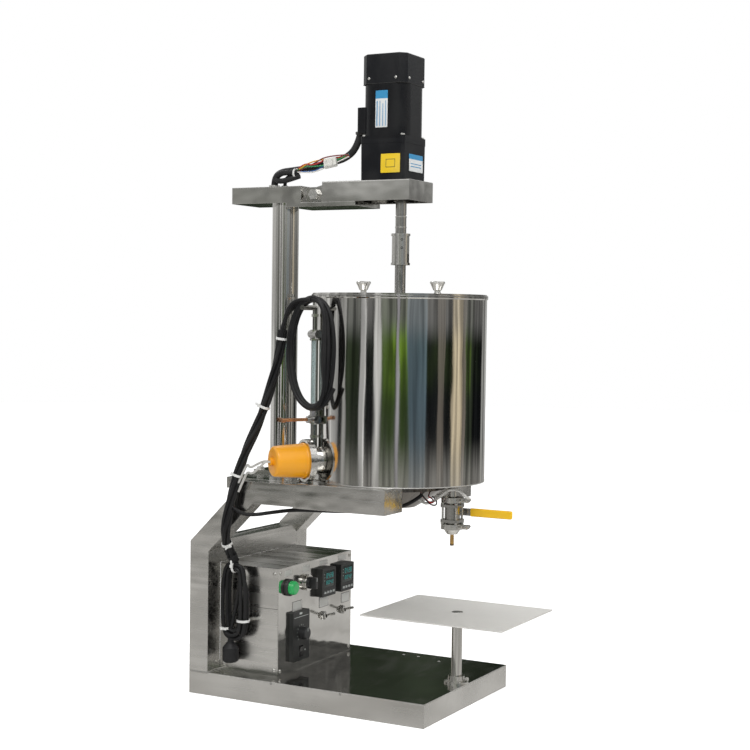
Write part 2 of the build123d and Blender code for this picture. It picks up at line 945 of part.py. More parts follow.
# Immersion element: flange with a hairpin of two rods in the jacket
def make_heater_element():
    start = heater_flange_start()
    bend = wall_plane(heater_angle, heater_height, start - rod_length)
    with BuildPart() as element:
        with BuildSketch(wall_plane(heater_angle, heater_height, start)):
            Circle(ferrule_radius)
        extrude(amount=ferrule_thickness)
        with BuildSketch(bend):
            with Locations((-rod_spread, 0), (rod_spread, 0)):
                Circle(rod_radius)
        extrude(amount=rod_length)
        with BuildSketch(bend):
            with Locations((rod_spread, 0)):
                Circle(rod_radius)
        revolve(axis=Axis(bend.origin, bend.y_dir), revolution_arc=180)
    save(element, "heater_element")


# Cap over the heater terminals
def make_heater_cap():
    start = heater_flange_start() + ferrule_thickness
    end = start + cap_length - cap_nub_length
    with BuildPart() as cap:
        with BuildSketch(wall_plane(heater_angle, heater_height, start)):
            Circle(ferrule_radius - 1)
        with BuildSketch(wall_plane(heater_angle, heater_height, end)):
            Circle(cap_end_radius)
        loft()
        fillet(cap.faces().filter_by(GeomType.PLANE).group_by(SortBy.AREA)[0].edges(), cap_fillet)
        with BuildSketch(wall_plane(heater_angle, heater_height, end)):
            Circle(cap_nub_radius)
        extrude(amount=cap_nub_length)
        with BuildSketch(wall_plane(heater_angle, heater_height, start)):
            Circle(ferrule_radius - 1 - cap_skin)
        with BuildSketch(wall_plane(heater_angle, heater_height, end - cap_skin - 1)):
            Circle(cap_end_radius - cap_skin)
        loft(mode=Mode.SUBTRACT)
    save(cap, "heater_cap")


def gauge_point():
    turn = math.radians(heater_angle)
    return (math.cos(turn) * gauge_distance, tank_y + math.sin(turn) * gauge_distance)


def vent_elbow():
    return (*gauge_point(), vent_top)


# Level gauge metalwork: riser pipe, two cocks, guard rods and the bent vent pipe
def make_gauge_fittings():
    with BuildPart() as fittings:
        with BuildSketch(level(heater_height)):
            with Locations(gauge_point()):
                Circle(gauge_pipe_radius)
        extrude(amount=cock_height - heater_height)
        with BuildSketch(wall_plane(heater_angle, heater_height, tank_radius - 20)):
            Circle(socket_radius + panel_clearance / 2)
        extrude(amount=60, mode=Mode.SUBTRACT)
        for z in (cock_height, upper_port_z()):
            centre = wall_plane(heater_angle, z, gauge_distance)
            half = cock_length / 2
            across = Plane(origin=centre.origin - centre.x_dir * half, z_dir=centre.x_dir)
            with BuildSketch(across):
                Circle(cock_radius)
            extrude(amount=cock_length)
        for low, high in ((cock_height, glass_bottom), (glass_top, upper_port_z() + 8)):
            with BuildSketch(level(low)):
                with Locations(gauge_point()):
                    RegularPolygon(gland_radius, 6)
            extrude(amount=high - low)
        with BuildSketch(level(upper_port_z())):
            with Locations(gauge_point()):
                Circle(vent_radius)
        extrude(amount=vent_top - upper_port_z())
        with Locations(vent_elbow()):
            Sphere(vent_radius)
        with BuildSketch(wall_plane(heater_angle, upper_port_z(), tank_radius - tank_wall - 2)):
            Circle(port_radius)
        extrude(amount=gauge_distance - tank_radius + tank_wall + 2)
        centre = wall_plane(heater_angle, cock_height, gauge_distance)
        for side in (-1, 1):
            with BuildSketch(Plane(origin=centre.origin + centre.x_dir * (side * guard_rod_offset))):
                Circle(guard_rod_radius)
            extrude(amount=upper_port_z() - cock_height)
        with BuildSketch(Plane(origin=vent_elbow(), z_dir=(-1, 0, 0))):
            Circle(vent_radius)
        extrude(amount=vent_arm)
        with BuildSketch(wall_plane(heater_angle, cock_height, gauge_distance)):
            Circle(cock_radius - 1)
        extrude(amount=cock_spout)
        with BuildSketch(wall_plane(heater_angle, cock_height, gauge_distance + key_depth)):
            Circle(key_radius + running_fit)
        extrude(amount=cock_spout, mode=Mode.SUBTRACT)
    save(fittings, "gauge_fittings")


# Glass tube, closed ends bedded in the two gland nuts
def make_gauge_glass():
    with BuildPart() as glass:
        with BuildSketch(level(glass_bottom)):
            with Locations(gauge_point()):
                Circle(glass_radius)
                Circle(glass_radius - glass_wall, mode=Mode.SUBTRACT)
        extrude(amount=glass_top - glass_bottom)
    save(glass, "gauge_glass")


# Drain key of the gauge: spindle with a cross handle
def make_gauge_drain_key():
    start = gauge_distance + key_depth + rest_gap
    grip = start + key_length - key_handle[2] / 2
    with BuildPart() as key:
        with BuildSketch(wall_plane(heater_angle, cock_height, start)):
            Circle(key_radius)
        extrude(amount=key_length)
        with BuildSketch(wall_plane(heater_angle, cock_height, grip)):
            SlotOverall(key_handle[0], key_handle[1])
        extrude(amount=key_handle[2])
    save(key, "gauge_drain_key")


# Three-piece ball valve: two end caps
def make_valve_end_caps():
    half_body = valve_body_length / 2
    with BuildPart() as caps:
        for side in (-1, 1):
            inner = valve_height + side * half_body
            with BuildSketch(level(inner)):
                with Locations((0, outlet_y)):
                    RectangleRounded(valve_flange, valve_flange, valve_flange_corner)
            extrude(amount=side * valve_flange_thickness)
            with BuildSketch(level(inner)):
                with Locations((0, outlet_y)):
                    Circle(valve_body_radius - 3)
            extrude(amount=side * (valve_flange_thickness + valve_hub_length))
            with BuildSketch(level(valve_height + side * (valve_half() - ferrule_thickness))):
                with Locations((0, outlet_y)):
                    Circle(valve_ferrule_radius)
            extrude(amount=side * ferrule_thickness)
            with BuildSketch(level(inner)):
                with Locations((0, outlet_y)):
                    Circle(valve_bore_radius)
                    with Locations(*rod_places()):
                        Circle(tie_rod_radius + tie_rod_clearance)
            extrude(amount=side * (valve_flange_thickness + valve_hub_length), mode=Mode.SUBTRACT)
    save(caps, "valve_end_caps")


def rod_places():
    reach = valve_flange / 2 - tie_rod_inset
    return [(x * reach, y * reach) for x in (-1, 1) for y in (-1, 1)]


def make_valve_body():
    with BuildPart() as body:
        with BuildSketch(level(valve_height - valve_body_length / 2)):
            with Locations((0, outlet_y)):
                Circle(valve_body_radius)
        extrude(amount=valve_body_length)
        with BuildSketch(side_plane(0)):
            with Locations((outlet_y, valve_height)):
                Circle(stem_radius + stem_housing)
        extrude(amount=lever_x - lever_thickness)
        with BuildSketch(level(valve_height - valve_body_length / 2)):
            with Locations((0, outlet_y)):
                Circle(valve_bore_radius)
        extrude(amount=valve_body_length, mode=Mode.SUBTRACT)
        with Locations((0, outlet_y, valve_height)):
            Sphere(ball_radius + ball_clearance, mode=Mode.SUBTRACT)
        with BuildSketch(side_plane(0)):
            with Locations((outlet_y, valve_height)):
                Circle(stem_radius + running_fit)
        extrude(amount=lever_x, mode=Mode.SUBTRACT)
    save(body, "valve_body")


def make_valve_tie_rods():
    length = valve_body_length + 2 * valve_flange_thickness
    with BuildPart() as rods:
        with BuildSketch(level(valve_height - length / 2)):
            with Locations((0, outlet_y)):
                with Locations(*rod_places()):
                    Circle(tie_rod_radius)
        extrude(amount=length)
        for start in (valve_height - length / 2 - tie_nut[1], valve_height + length / 2):
            with BuildSketch(level(start)):
                with Locations((0, outlet_y)):
                    with Locations(*rod_places()):
                        RegularPolygon(tie_nut[0], 6)
            extrude(amount=tie_nut[1])
    save(rods, "valve_tie_rods")


# Clamps on the ferrules: two on the valve, one on the heater
def make_pipe_clamps():
    with BuildPart() as clamps:
        for side in (-1, 1):
            joint = valve_height + side * valve_half()
            with BuildSketch(front_plane(outlet_y)):
                clamp_section(joint, valve_ferrule_radius, valve_clamp_radius, valve_clamp_height)
            revolve(axis=upright_axis(0, outlet_y))
            with BuildSketch(front_plane(outlet_y - valve_clamp_radius + 2)):
                with Locations((0, joint)):
                    Rectangle(clamp_lug[0], valve_clamp_height - 2)
            extrude(amount=clamp_lug[1])
        plane = wall_plane(heater_angle, heater_height, heater_clamp_middle())
        turned = Plane(origin=plane.origin, x_dir=plane.x_dir, z_dir=plane.y_dir)
        with BuildSketch(turned):
            half = (2 * ferrule_thickness + gasket_thickness) / 2
            inner = ferrule_radius + gasket_overhang + panel_clearance
            with Locations(((inner + heater_clamp_radius) / 2, 0)):
                Rectangle(heater_clamp_radius - inner, 2 * half + 4)
        revolve(axis=Axis(plane.origin, plane.z_dir))
    save(clamps, "pipe_clamps")


def heater_clamp_middle():
    return clamp_start + ferrule_thickness + gasket_thickness / 2


def clamp_section(joint, inner, outer, height):
    with Locations(((inner + clamp_ring_gap + outer) / 2, joint)):
        Rectangle(outer - inner - clamp_ring_gap, height)


def make_valve_ball():
    with BuildPart() as ball:
        with Locations((0, outlet_y, valve_height)):
            Sphere(ball_radius)
        with BuildSketch(side_plane(0)):
            with Locations((outlet_y, valve_height)):
                Circle(stem_radius)
        extrude(amount=lever_x + lever_thickness)
        with BuildSketch(front_plane(outlet_y - ball_radius)):
            with Locations((0, valve_height)):
                Circle(valve_bore_radius)
        extrude(amount=-2 * ball_radius, mode=Mode.SUBTRACT)
    save(ball, "valve_ball")


# Lever of the valve, closed in the photograph, with its grip
def make_valve_lever():
    with BuildPart() as lever:
        with BuildSketch(side_plane(lever_x)):
            with Locations((outlet_y, valve_height)):
                Circle(lever_height / 2 + 1)
            with Locations((outlet_y - lever_length / 2, valve_height)):
                Rectangle(lever_length, lever_height - 2)
            with Locations((outlet_y, valve_height)):
                Circle(stem_radius + running_fit, mode=Mode.SUBTRACT)
        extrude(amount=lever_thickness)
        with BuildSketch(side_plane(lever_x + lever_thickness)):
            with Locations((outlet_y, valve_height)):
                RegularPolygon(lever_nut[0], 6)
        extrude(amount=lever_nut[1])
    save(lever, "valve_lever")


def make_lever_grip():
    centre_x = lever_x + lever_thickness / 2
    with BuildPart() as grip:
        with BuildSketch(front_plane(outlet_y - grip_start)):
            with Locations((centre_x, valve_height)):
                RectangleRounded(lever_thickness + 2 * grip_wall, lever_height, grip_corner)
        extrude(amount=grip_length)
        with BuildSketch(side_plane(lever_x)):
            end = outlet_y - lever_length
            start = outlet_y - grip_start
            with Locations(((start + end) / 2, valve_height)):
                Rectangle(start - end, lever_height - 2)
        extrude(amount=lever_thickness, mode=Mode.SUBTRACT)
        fillet(grip.faces().sort_by(Axis.Y)[0].edges(), 2)
    save(grip, "lever_grip")


# Reducer cap under the valve, tapped for the nozzle
def make_reducer_cap():
    top = valve_height - valve_half()
    bore = nozzle_neck_radius + running_fit
    with BuildPart() as cap:
        with BuildSketch(front_plane(outlet_y)):
            Polygon(
                (bore, top),
                (valve_ferrule_radius, top),
                (valve_ferrule_radius, top - ferrule_thickness),
                (reducer_radius, top - ferrule_thickness - 1),
                (reducer_radius, top - reducer_height / 2.5),
                (reducer_end_radius, top - reducer_height),
                (bore, top - reducer_height),
                align=None,
            )
        revolve(axis=upright_axis(0, outlet_y))
    save(cap, "reducer_cap")


# Nozzle: plain spout, undercut below its thread
def make_nozzle():
    seat = valve_height - valve_half() - reducer_height
    with BuildPart() as nozzle:
        with BuildSketch(level(nozzle_tip)):
            with Locations((0, outlet_y)):
                Circle(nozzle_radius)
        extrude(amount=nozzle_spout_length)
        with BuildSketch(level(nozzle_tip)):
            with Locations((0, outlet_y)):
                Circle(nozzle_neck_radius)
        extrude(amount=seat + nozzle_thread_length - nozzle_tip)
        with BuildSketch(level(nozzle_tip)):
            with Locations((0, outlet_y)):
                Circle(nozzle_bore_radius)
        extrude(amount=seat + nozzle_thread_length - nozzle_tip, mode=Mode.SUBTRACT)
    save(nozzle, "nozzle")


# Control box: folded shell, open at the front
def make_control_box():
    depth = box_rear_y - box_front_y - sheet
    with BuildPart() as box:
        with BuildSketch(front_plane(box_rear_y)):
            with Locations((0, (base_top + box_top) / 2)):
                Rectangle(2 * inner_x, box_top - base_top)
        extrude(amount=depth)
        with BuildSketch(front_plane(box_rear_y - sheet)):
            with Locations((0, (base_top + box_top) / 2)):
                Rectangle(2 * (inner_x - sheet), box_top - base_top - 2 * sheet)
        extrude(amount=depth - sheet, mode=Mode.SUBTRACT)
    save(box, "control_box")


# Front panel with a cutout for each device
def make_control_panel():
    with BuildPart() as panel:
        with BuildSketch(front_plane(box_front_y + sheet)):
            with Locations((0, (base_top + box_top) / 2)):
                Rectangle(2 * inner_x, box_top - base_top)
            with Locations((lamp_x, upper_row_z), (selector_x, upper_row_z)):
                Circle(barrel_radius + panel_clearance, mode=Mode.SUBTRACT)
            for x in controller_x:
                with Locations((x, controller_z)):
                    cut = controller_body + 2 * panel_clearance
                    Rectangle(cut, cut, mode=Mode.SUBTRACT)
            with Locations((speed_x, speed_z)):
                wide = speed_body[0] + 2 * panel_clearance
                high = speed_body[1] + 2 * panel_clearance
                Rectangle(wide, high, mode=Mode.SUBTRACT)
            for x in toggle_x:
                with Locations((x, toggle_z)):
                    Circle(toggle_barrel + panel_clearance, mode=Mode.SUBTRACT)
        extrude(amount=sheet)
    save(panel, "control_panel")


# Relay, terminal strip and drive board inside the box
def make_control_gear():
    with BuildPart() as gear:
        with BuildSketch(front_plane(box_rear_y - sheet)):
            for x, z, wide, high in gear_blocks:
                with Locations((x, z)):
                    Rectangle(wide, high)
        extrude(amount=gear_depth)
    save(gear, "control_gear")


def make_lamp_bezel():
    with BuildPart() as bezel:
        with BuildSketch(front_plane(box_front_y)):
            with Locations((lamp_x, upper_row_z)):
                Circle(lamp_bezel_radius)
        extrude(amount=lamp_bezel_height)
        with BuildSketch(front_plane(box_front_y)):
            with Locations((lamp_x, upper_row_z)):
                Circle(barrel_radius)
        extrude(amount=-lamp_depth)
        with BuildSketch(front_plane(lens_seat_y())):
            with Locations((lamp_x, upper_row_z)):
                Circle(lens_radius)
        extrude(amount=lens_seat, mode=Mode.SUBTRACT)
    save(bezel, "lamp_bezel")


def lens_seat_y():
    return box_front_y - lamp_bezel_height + lens_seat


def make_lamp_lens():
    with BuildPart() as lens:
        with BuildSketch(front_plane(lens_seat_y())):
            with Locations((lamp_x, upper_row_z)):
                Circle(lens_radius - lens_clearance)
        extrude(amount=lens_seat + lens_height + 1)
        fillet(lens.faces().sort_by(Axis.Y)[0].edges(), lens_height / 2)
    save(lens, "lamp_lens")


# Selector ring and toggle bodies, fixed in the panel
def make_switch_bodies():
    with BuildPart() as bodies:
        with BuildSketch(front_plane(box_front_y)):
            with Locations((selector_x, upper_row_z)):
                Circle(selector_ring_radius)
        extrude(amount=selector_ring_height)
        with BuildSketch(front_plane(box_front_y)):
            with Locations((selector_x, upper_row_z)):
                Circle(barrel_radius)
        extrude(amount=-selector_depth)
        with BuildSketch(front_plane(box_front_y - selector_seat)):
            with Locations((selector_x, upper_row_z)):
                Circle(selector_radius + rest_gap)
        extrude(amount=selector_seat, mode=Mode.SUBTRACT)
        for x in toggle_x:
            with BuildSketch(front_plane(box_front_y)):
                with Locations((x, toggle_z)):
                    RegularPolygon(toggle_nut[0], 6)
            extrude(amount=toggle_nut[1])
            with BuildSketch(front_plane(box_front_y)):
                with Locations((x, toggle_z)):
                    Circle(toggle_barrel)
            extrude(amount=toggle_nose)
            with BuildSketch(front_plane(box_front_y + sheet)):
                with Locations((x, toggle_z)):
                    Rectangle(toggle_housing[0], toggle_housing[1])
            extrude(amount=-toggle_housing[2])
            with BuildSketch(front_plane(box_front_y + sheet)):
                with Locations((x, toggle_z)):
                    Circle(toggle_barrel)
            extrude(amount=sheet)
            with BuildSketch(front_plane(box_front_y - toggle_nose)):
                with Locations((x, toggle_z)):
                    Circle(toggle_mouth)
            extrude(amount=-toggle_nose - rest_gap, mode=Mode.SUBTRACT)
    save(bodies, "switch_bodies")


def make_selector_knob():
    with BuildPart() as knob:
        with BuildSketch(front_plane(box_front_y - selector_seat - rest_gap)):
            with Locations((selector_x, upper_row_z)):
                Circle(selector_radius)
        extrude(amount=selector_ring_height)
        with BuildSketch(front_plane(box_front_y - selector_ring_height - 2)):
            with Locations((selector_x, upper_row_z)):
                Rectangle(selector_bar[0], selector_bar[1])
        extrude(amount=selector_bar[2])
        fillet(knob.faces().sort_by(Axis.Y)[0].edges(), 1.5)
    save(knob, "selector_knob")


# Two temperature controllers: bezel, display recess and key pockets
def make_temperature_controllers():
    face = box_front_y - controller_depth
    with BuildPart() as controllers:
        for x in controller_x:
            with BuildSketch(front_plane(box_front_y)):
                with Locations((x, controller_z)):
                    RectangleRounded(controller_width, controller_height, 2)
            extrude(amount=controller_depth)
            with BuildSketch(front_plane(box_front_y)):
                with Locations((x, controller_z)):
                    Rectangle(controller_body, controller_body)
            extrude(amount=-controller_body_depth)
            with BuildSketch(front_plane(face + display_depth)):
                with Locations((x, controller_z + display_rise)):
                    RectangleRounded(display_size[0], display_size[1], 1.5)
            extrude(amount=display_depth, mode=Mode.SUBTRACT)
            with BuildSketch(front_plane(face + key_pocket)):
                with Locations(*key_places(x)):
                    wide = key_size[0] + 2 * key_clearance
                    Rectangle(wide, key_size[1] + 2 * key_clearance)
            extrude(amount=key_pocket, mode=Mode.SUBTRACT)
    save(controllers, "temperature_controllers")


def key_places(x):
    row = [(i - 1.5) * key_pitch for i in range(4)]
    return [(x + offset, controller_z - key_drop) for offset in row]


# Four rubber keys of one controller
def make_controller_keys(label, x):
    face = box_front_y - controller_depth
    with BuildPart() as keys:
        with BuildSketch(front_plane(face + key_travel_depth)):
            with Locations(*key_places(x)):
                RectangleRounded(key_size[0], key_size[1], 1)
        extrude(amount=key_travel_depth + key_proud)
    save(keys, label)


# Motor speed controller: face plate and rear body
def make_speed_controller():
    face = box_front_y - speed_depth
    with BuildPart() as speed:
        with BuildSketch(front_plane(box_front_y)):
            with Locations((speed_x, speed_z)):
                RectangleRounded(speed_width, speed_height, 3)
        extrude(amount=speed_depth)
        with BuildSketch(front_plane(box_front_y)):
            with Locations((speed_x, speed_z)):
                Rectangle(speed_body[0], speed_body[1])
        extrude(amount=-speed_body[2])
        with BuildSketch(front_plane(face)):
            with Locations((speed_x, speed_knob_z)):
                Circle(knob_spindle_radius + running_fit)
        extrude(amount=-knob_spindle_depth - 1, mode=Mode.SUBTRACT)
        with BuildSketch(front_plane(face)):
            with Locations((speed_x, rocker_z)):
                wide = rocker_size[0] + 2 * rocker_clearance
                Rectangle(wide, rocker_size[1] + 2 * rocker_clearance)
        extrude(amount=-rocker_pocket, mode=Mode.SUBTRACT)
        with BuildSketch(side_plane(speed_x)):
            with Locations((rocker_axis_y(), rocker_z)):
                Circle(rocker_pin_radius + running_fit)
        extrude(amount=rocker_pin_end() + rest_gap, both=True, mode=Mode.SUBTRACT)
    save(speed, "speed_controller")


def make_speed_knob():
    face = box_front_y - speed_depth
    with BuildPart() as knob:
        with BuildSketch(front_plane(face - rest_gap)):
            with Locations((speed_x, speed_knob_z)):
                Circle(speed_knob_radius)
        extrude(amount=speed_knob_height)
        chamfer(knob.faces().sort_by(Axis.Y)[0].edges(), 1)
        with BuildSketch(front_plane(face + knob_spindle_depth)):
            with Locations((speed_x, speed_knob_z)):
                Circle(knob_spindle_radius)
        extrude(amount=knob_spindle_depth + rest_gap)
        with BuildSketch(front_plane(face - rest_gap - speed_knob_height)):
            with Locations((speed_x, speed_knob_z + speed_knob_radius - 4)):
                Rectangle(1.2, 6)
        extrude(amount=-0.6, mode=Mode.SUBTRACT)
    save(knob, "speed_knob")


def rocker_axis_y():
    return box_front_y - speed_depth + rocker_half_depth


def rocker_pin_end():
    return rocker_size[0] / 2 + rocker_clearance + rocker_pin_reach


# Rocker on two side pins, off at rest: its upper half stands out
def make_power_rocker():
    turned = Plane(origin=(speed_x, rocker_axis_y(), rocker_z), x_dir=(0, -1, 0), z_dir=(1, 0, 0))
    turned = turned.rotated((rocker_tilt, 0, 0))
    half = rocker_size[1] / 2
    rise = half * math.tan(math.radians(rocker_tilt))
    with BuildPart() as rocker:
        with BuildSketch(turned):
            Polygon(
                (-rocker_half_depth, -half / 2),
                (rocker_half_depth - 1, -half + 1.2),
                (rocker_half_depth + rise, -half + 0.6),
                (rocker_half_depth, 0),
                (rocker_half_depth + rise, half - 0.6),
                (rocker_half_depth - 1, half - 1.2),
                (-rocker_half_depth, half / 2),
                align=None,
            )
        extrude(amount=rocker_size[0] / 2, both=True)
        with BuildSketch(side_plane(speed_x)):
            with Locations((rocker_axis_y(), rocker_z)):
                Circle(rocker_pin_radius)
        extrude(amount=rocker_pin_end(), both=True)
    save(rocker, "power_rocker")


def toggle_pivot_y():
    return box_front_y - toggle_pin_radius


# Toggle lever, up at rest, on a cross pin inside its bushing
def make_toggle_lever(label, x):
    tilt = math.radians(toggle_tilt)
    forward = Vector(0, -math.cos(tilt), math.sin(tilt))
    pivot = Vector(x, toggle_pivot_y(), toggle_z)
    with BuildPart() as lever:
        with BuildSketch(Plane(origin=pivot, x_dir=(1, 0, 0), z_dir=forward)):
            Circle(toggle_rod - 0.4)
        with BuildSketch(Plane(origin=pivot + forward * toggle_length, x_dir=(1, 0, 0), z_dir=forward)):
            Circle(toggle_rod + 0.9)
        loft()
        with BuildSketch(side_plane(x)):
            with Locations((toggle_pivot_y(), toggle_z)):
                Circle(toggle_pin_radius)
        extrude(amount=toggle_pin_length / 2, both=True)
        fillet(lever.edges().sort_by(Axis.Y)[0], 1.2)
    save(lever, label)


# Bottle platform: plate with turned-down edges on a swivelling post
def make_platform_plate():
    wide, deep = platform_size
    with BuildPart() as plate:
        with BuildSketch(level(platform_height - platform_sheet)):
            with Locations((0, platform_y)):
                RectangleRounded(wide, deep, 2)
        extrude(amount=platform_sheet)
        with BuildSketch(level(platform_height - platform_sheet - hub_height)):
            with Locations((0, platform_y)):
                Circle(post_radius + hub_wall)
        extrude(amount=hub_height)
        with BuildSketch(level(platform_height - platform_sheet - hub_height)):
            with Locations((0, platform_y)):
                Circle(spigot_radius + running_fit)
        extrude(amount=spigot_length, mode=Mode.SUBTRACT)
    save(plate, "platform_plate")


def make_platform_post():
    shoulder = platform_height - platform_sheet - hub_height - rest_gap
    with BuildPart() as post:
        with BuildSketch(level(base_top - post_depth)):
            with Locations((0, platform_y)):
                Circle(post_radius)
        extrude(amount=shoulder - base_top + post_depth)
        with BuildSketch(level(shoulder)):
            with Locations((0, platform_y)):
                Circle(spigot_radius)
        extrude(amount=spigot_length)
    save(post, "platform_post")


# Socket of the post: flange on the base sheet, collar and tube below
def make_post_socket():
    low = base_top - post_depth - 2
    with BuildPart() as socket:
        with BuildSketch(level(base_top)):
            with Locations((0, platform_y)):
                Circle(post_flange / 2)
        extrude(amount=post_flange_thickness)
        with BuildSketch(level(base_top)):
            with Locations((0, platform_y)):
                Circle(collar_diameter / 2)
        extrude(amount=post_flange_thickness + collar_height)
        with BuildSketch(level(low)):
            with Locations((0, platform_y)):
                Circle(post_radius + socket_wall)
        extrude(amount=base_top - low)
        with BuildSketch(level(low + socket_floor)):
            with Locations((0, platform_y)):
                Circle(post_radius + running_fit)
        extrude(amount=base_top + post_flange_thickness + collar_height - low, mode=Mode.SUBTRACT)
        with BuildSketch(front_plane(platform_y - post_radius - 1)):
            with Locations((0, base_top + post_flange_thickness + collar_height / 2)):
                Circle(thumb_hole_radius)
        extrude(amount=collar_diameter / 2 - post_radius + 2)
    save(socket, "post_socket")


def cable_path(points):
    """Straight runs and tangent arcs through hand-picked points."""
    radii = []
    for a, b, c in zip(points, points[1:], points[2:]):
        first = Vector(*b) - Vector(*a)
        second = Vector(*c) - Vector(*b)
        turn = math.radians(first.get_angle(second))
        radii.append(0.45 * min(first.length, second.length) / math.tan(turn / 2))
    print("cable radii", [round(r, 1) for r in radii])
    return FilletPolyline(*points, radius=radii)


def make_cable(label, points, diameter):
    with BuildPart() as cable:
        with BuildLine() as line:
            cable_path(points)
        start = line.wires()[0]
        with BuildSketch(Plane(origin=start @ 0, z_dir=start % 0)):
            Circle(diameter / 2)
        sweep()
    save(cable, label)
    print(label, "length", round(start.length, 1), "volume share",
          round(cable.part.volume / (math.pi * diameter ** 2 / 4 * start.length), 4))


def make_hank(label, x, middle_y, top, width, drop, diameter, bend):
    """Closed ring of cable turns in an upright plane along Y."""
    with BuildPart() as hank:
        with BuildLine(side_plane(x)) as line:
            low = top - drop
            half = width / 2
            FilletPolyline(
                (middle_y - half, top),
                (middle_y + half, top),
                (middle_y + half, low),
                (middle_y - half, low),
                radius=bend,
                close=True,
            )
        loop = line.wires()[0]
        with BuildSketch(Plane(origin=loop @ 0, z_dir=loop % 0)):
            Circle(diameter / 2)
        sweep()
    save(hank, label)


# Plug on the end of the mains cable, with its strain relief upwards
def make_mains_plug():
    with BuildPart() as plug:
        with BuildSketch(front_plane(plug_y)):
            Polygon(
                (0, plug_bottom),
                (plug_radius - plug_edge, plug_bottom),
                (plug_radius, plug_bottom + plug_edge),
                (plug_radius, plug_bottom + plug_barrel_length),
                (plug_radius - 2 * plug_edge, plug_bottom + plug_taper_length),
                (2 * plug_edge, plug_bottom + plug_neck_start),
                (plug_neck_radius, plug_top),
                (0, plug_top),
                align=None,
            )
        revolve(axis=upright_axis(0, plug_y))
    plug.part = Pos(drop_x, 0, 0) * plug.part
    save(plug, "mains_plug")


make_base_frame()
make_base_sheet()
make_side_frame("side_frame_left", -side_x)
make_side_frame("side_frame_right", side_x)
make_rear_cross_tube()
make_arm_sleeves()
make_deck_plate()
make_column()
make_rear_beam()
make_motor_tray()
make_pivot_bolt()
make_gearbox()
make_motor_body()
make_fan_cover()
make_output_shaft()
make_coupling_sleeve()
make_stirrer()
make_tank_jacket()
make_hopper()
make_lid("lid_front", -1)
make_lid("lid_rear", 1)
make_heater_socket()
make_heater_gasket()
make_heater_element()
make_heater_cap()
make_gauge_fittings()
make_gauge_glass()
make_gauge_drain_key()
make_valve_end_caps()
make_valve_body()
make_valve_tie_rods()
make_pipe_clamps()
make_valve_ball()
make_valve_lever()
make_lever_grip()
make_reducer_cap()
make_nozzle()
make_control_box()
make_control_panel()
make_control_gear()
make_lamp_bezel()
make_lamp_lens()
make_switch_bodies()
make_selector_knob()
make_temperature_controllers()
make_controller_keys("controller_keys_left", controller_x[0])
make_controller_keys("controller_keys_right", controller_x[1])
make_speed_controller()
make_speed_knob()
make_power_rocker()
make_toggle_lever("toggle_lever_left", toggle_x[0])
make_toggle_lever("toggle_lever_right", toggle_x[1])
make_platform_plate()
make_platform_post()
make_post_socket()
make_hank("cable_hank", hank_x, hank_y, hank_top, hank_width, hank_drop, hank_diameter, hank_bend)
drop_size = (drop_hank_width, drop_hank_length, drop_hank_diameter, drop_bend)
make_hank("drop_hank", drop_x, drop_y, drop_top, *drop_size)
make_cable("cable_bundle", bundle_route, bundle_diameter)
make_cable("motor_lead", lead_route, lead_diameter)
make_mains_plug()
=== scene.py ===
import math

import bmesh
import bpy
from mathutils import Matrix, Vector


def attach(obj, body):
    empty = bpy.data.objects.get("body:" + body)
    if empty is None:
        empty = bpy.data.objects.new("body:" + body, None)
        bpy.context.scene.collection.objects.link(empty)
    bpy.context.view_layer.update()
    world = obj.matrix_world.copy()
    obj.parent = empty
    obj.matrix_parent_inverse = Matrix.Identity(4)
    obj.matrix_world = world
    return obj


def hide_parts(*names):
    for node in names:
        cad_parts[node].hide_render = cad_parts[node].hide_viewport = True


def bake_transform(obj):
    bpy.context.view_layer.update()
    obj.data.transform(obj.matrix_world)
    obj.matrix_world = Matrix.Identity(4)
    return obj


bl_info = {
    "name": "Heated filling machine",
    "version": (1, 0, 0),
    "blender": (4, 5, 0),
    "location": "View3D > Sidebar > Filling machine",
    "description": "Dresses the heated filling machine with cables, fittings and finishes",
    "category": "Object",
}

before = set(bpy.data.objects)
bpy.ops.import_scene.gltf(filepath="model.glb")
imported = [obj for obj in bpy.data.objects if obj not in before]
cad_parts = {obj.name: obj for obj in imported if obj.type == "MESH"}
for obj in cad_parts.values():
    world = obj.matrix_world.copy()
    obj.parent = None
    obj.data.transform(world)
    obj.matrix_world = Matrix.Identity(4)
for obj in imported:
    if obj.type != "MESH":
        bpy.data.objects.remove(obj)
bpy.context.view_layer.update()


# Places and directions that many pieces share, in metres
TANK_Y = -0.0945
NOZZLE_Y = -0.207
MOTOR_Y = -0.0765
POST_Y = -0.220
PANEL_Y = 0.075
CONTROLLER_X = (0.026, 0.0965)
TOGGLE_X = (0.026, 0.098)
TANK_AXIS = Vector((0, TANK_Y, 0))
GAUGE_SIDE = math.radians(143.0)
OUTWARD = Vector((math.cos(GAUGE_SIDE), math.sin(GAUGE_SIDE), 0))
TANGENT = Vector((-math.sin(GAUGE_SIDE), math.cos(GAUGE_SIDE), 0))
UP, FRONT, BACK, LEFT, RIGHT = (0, 0, 1), (0, -1, 0), (0, 1, 0), (-1, 0, 0), (1, 0, 0)
ANY_TURN = 6.0
WIRE_RED = (0.5, 0.012, 0.01)


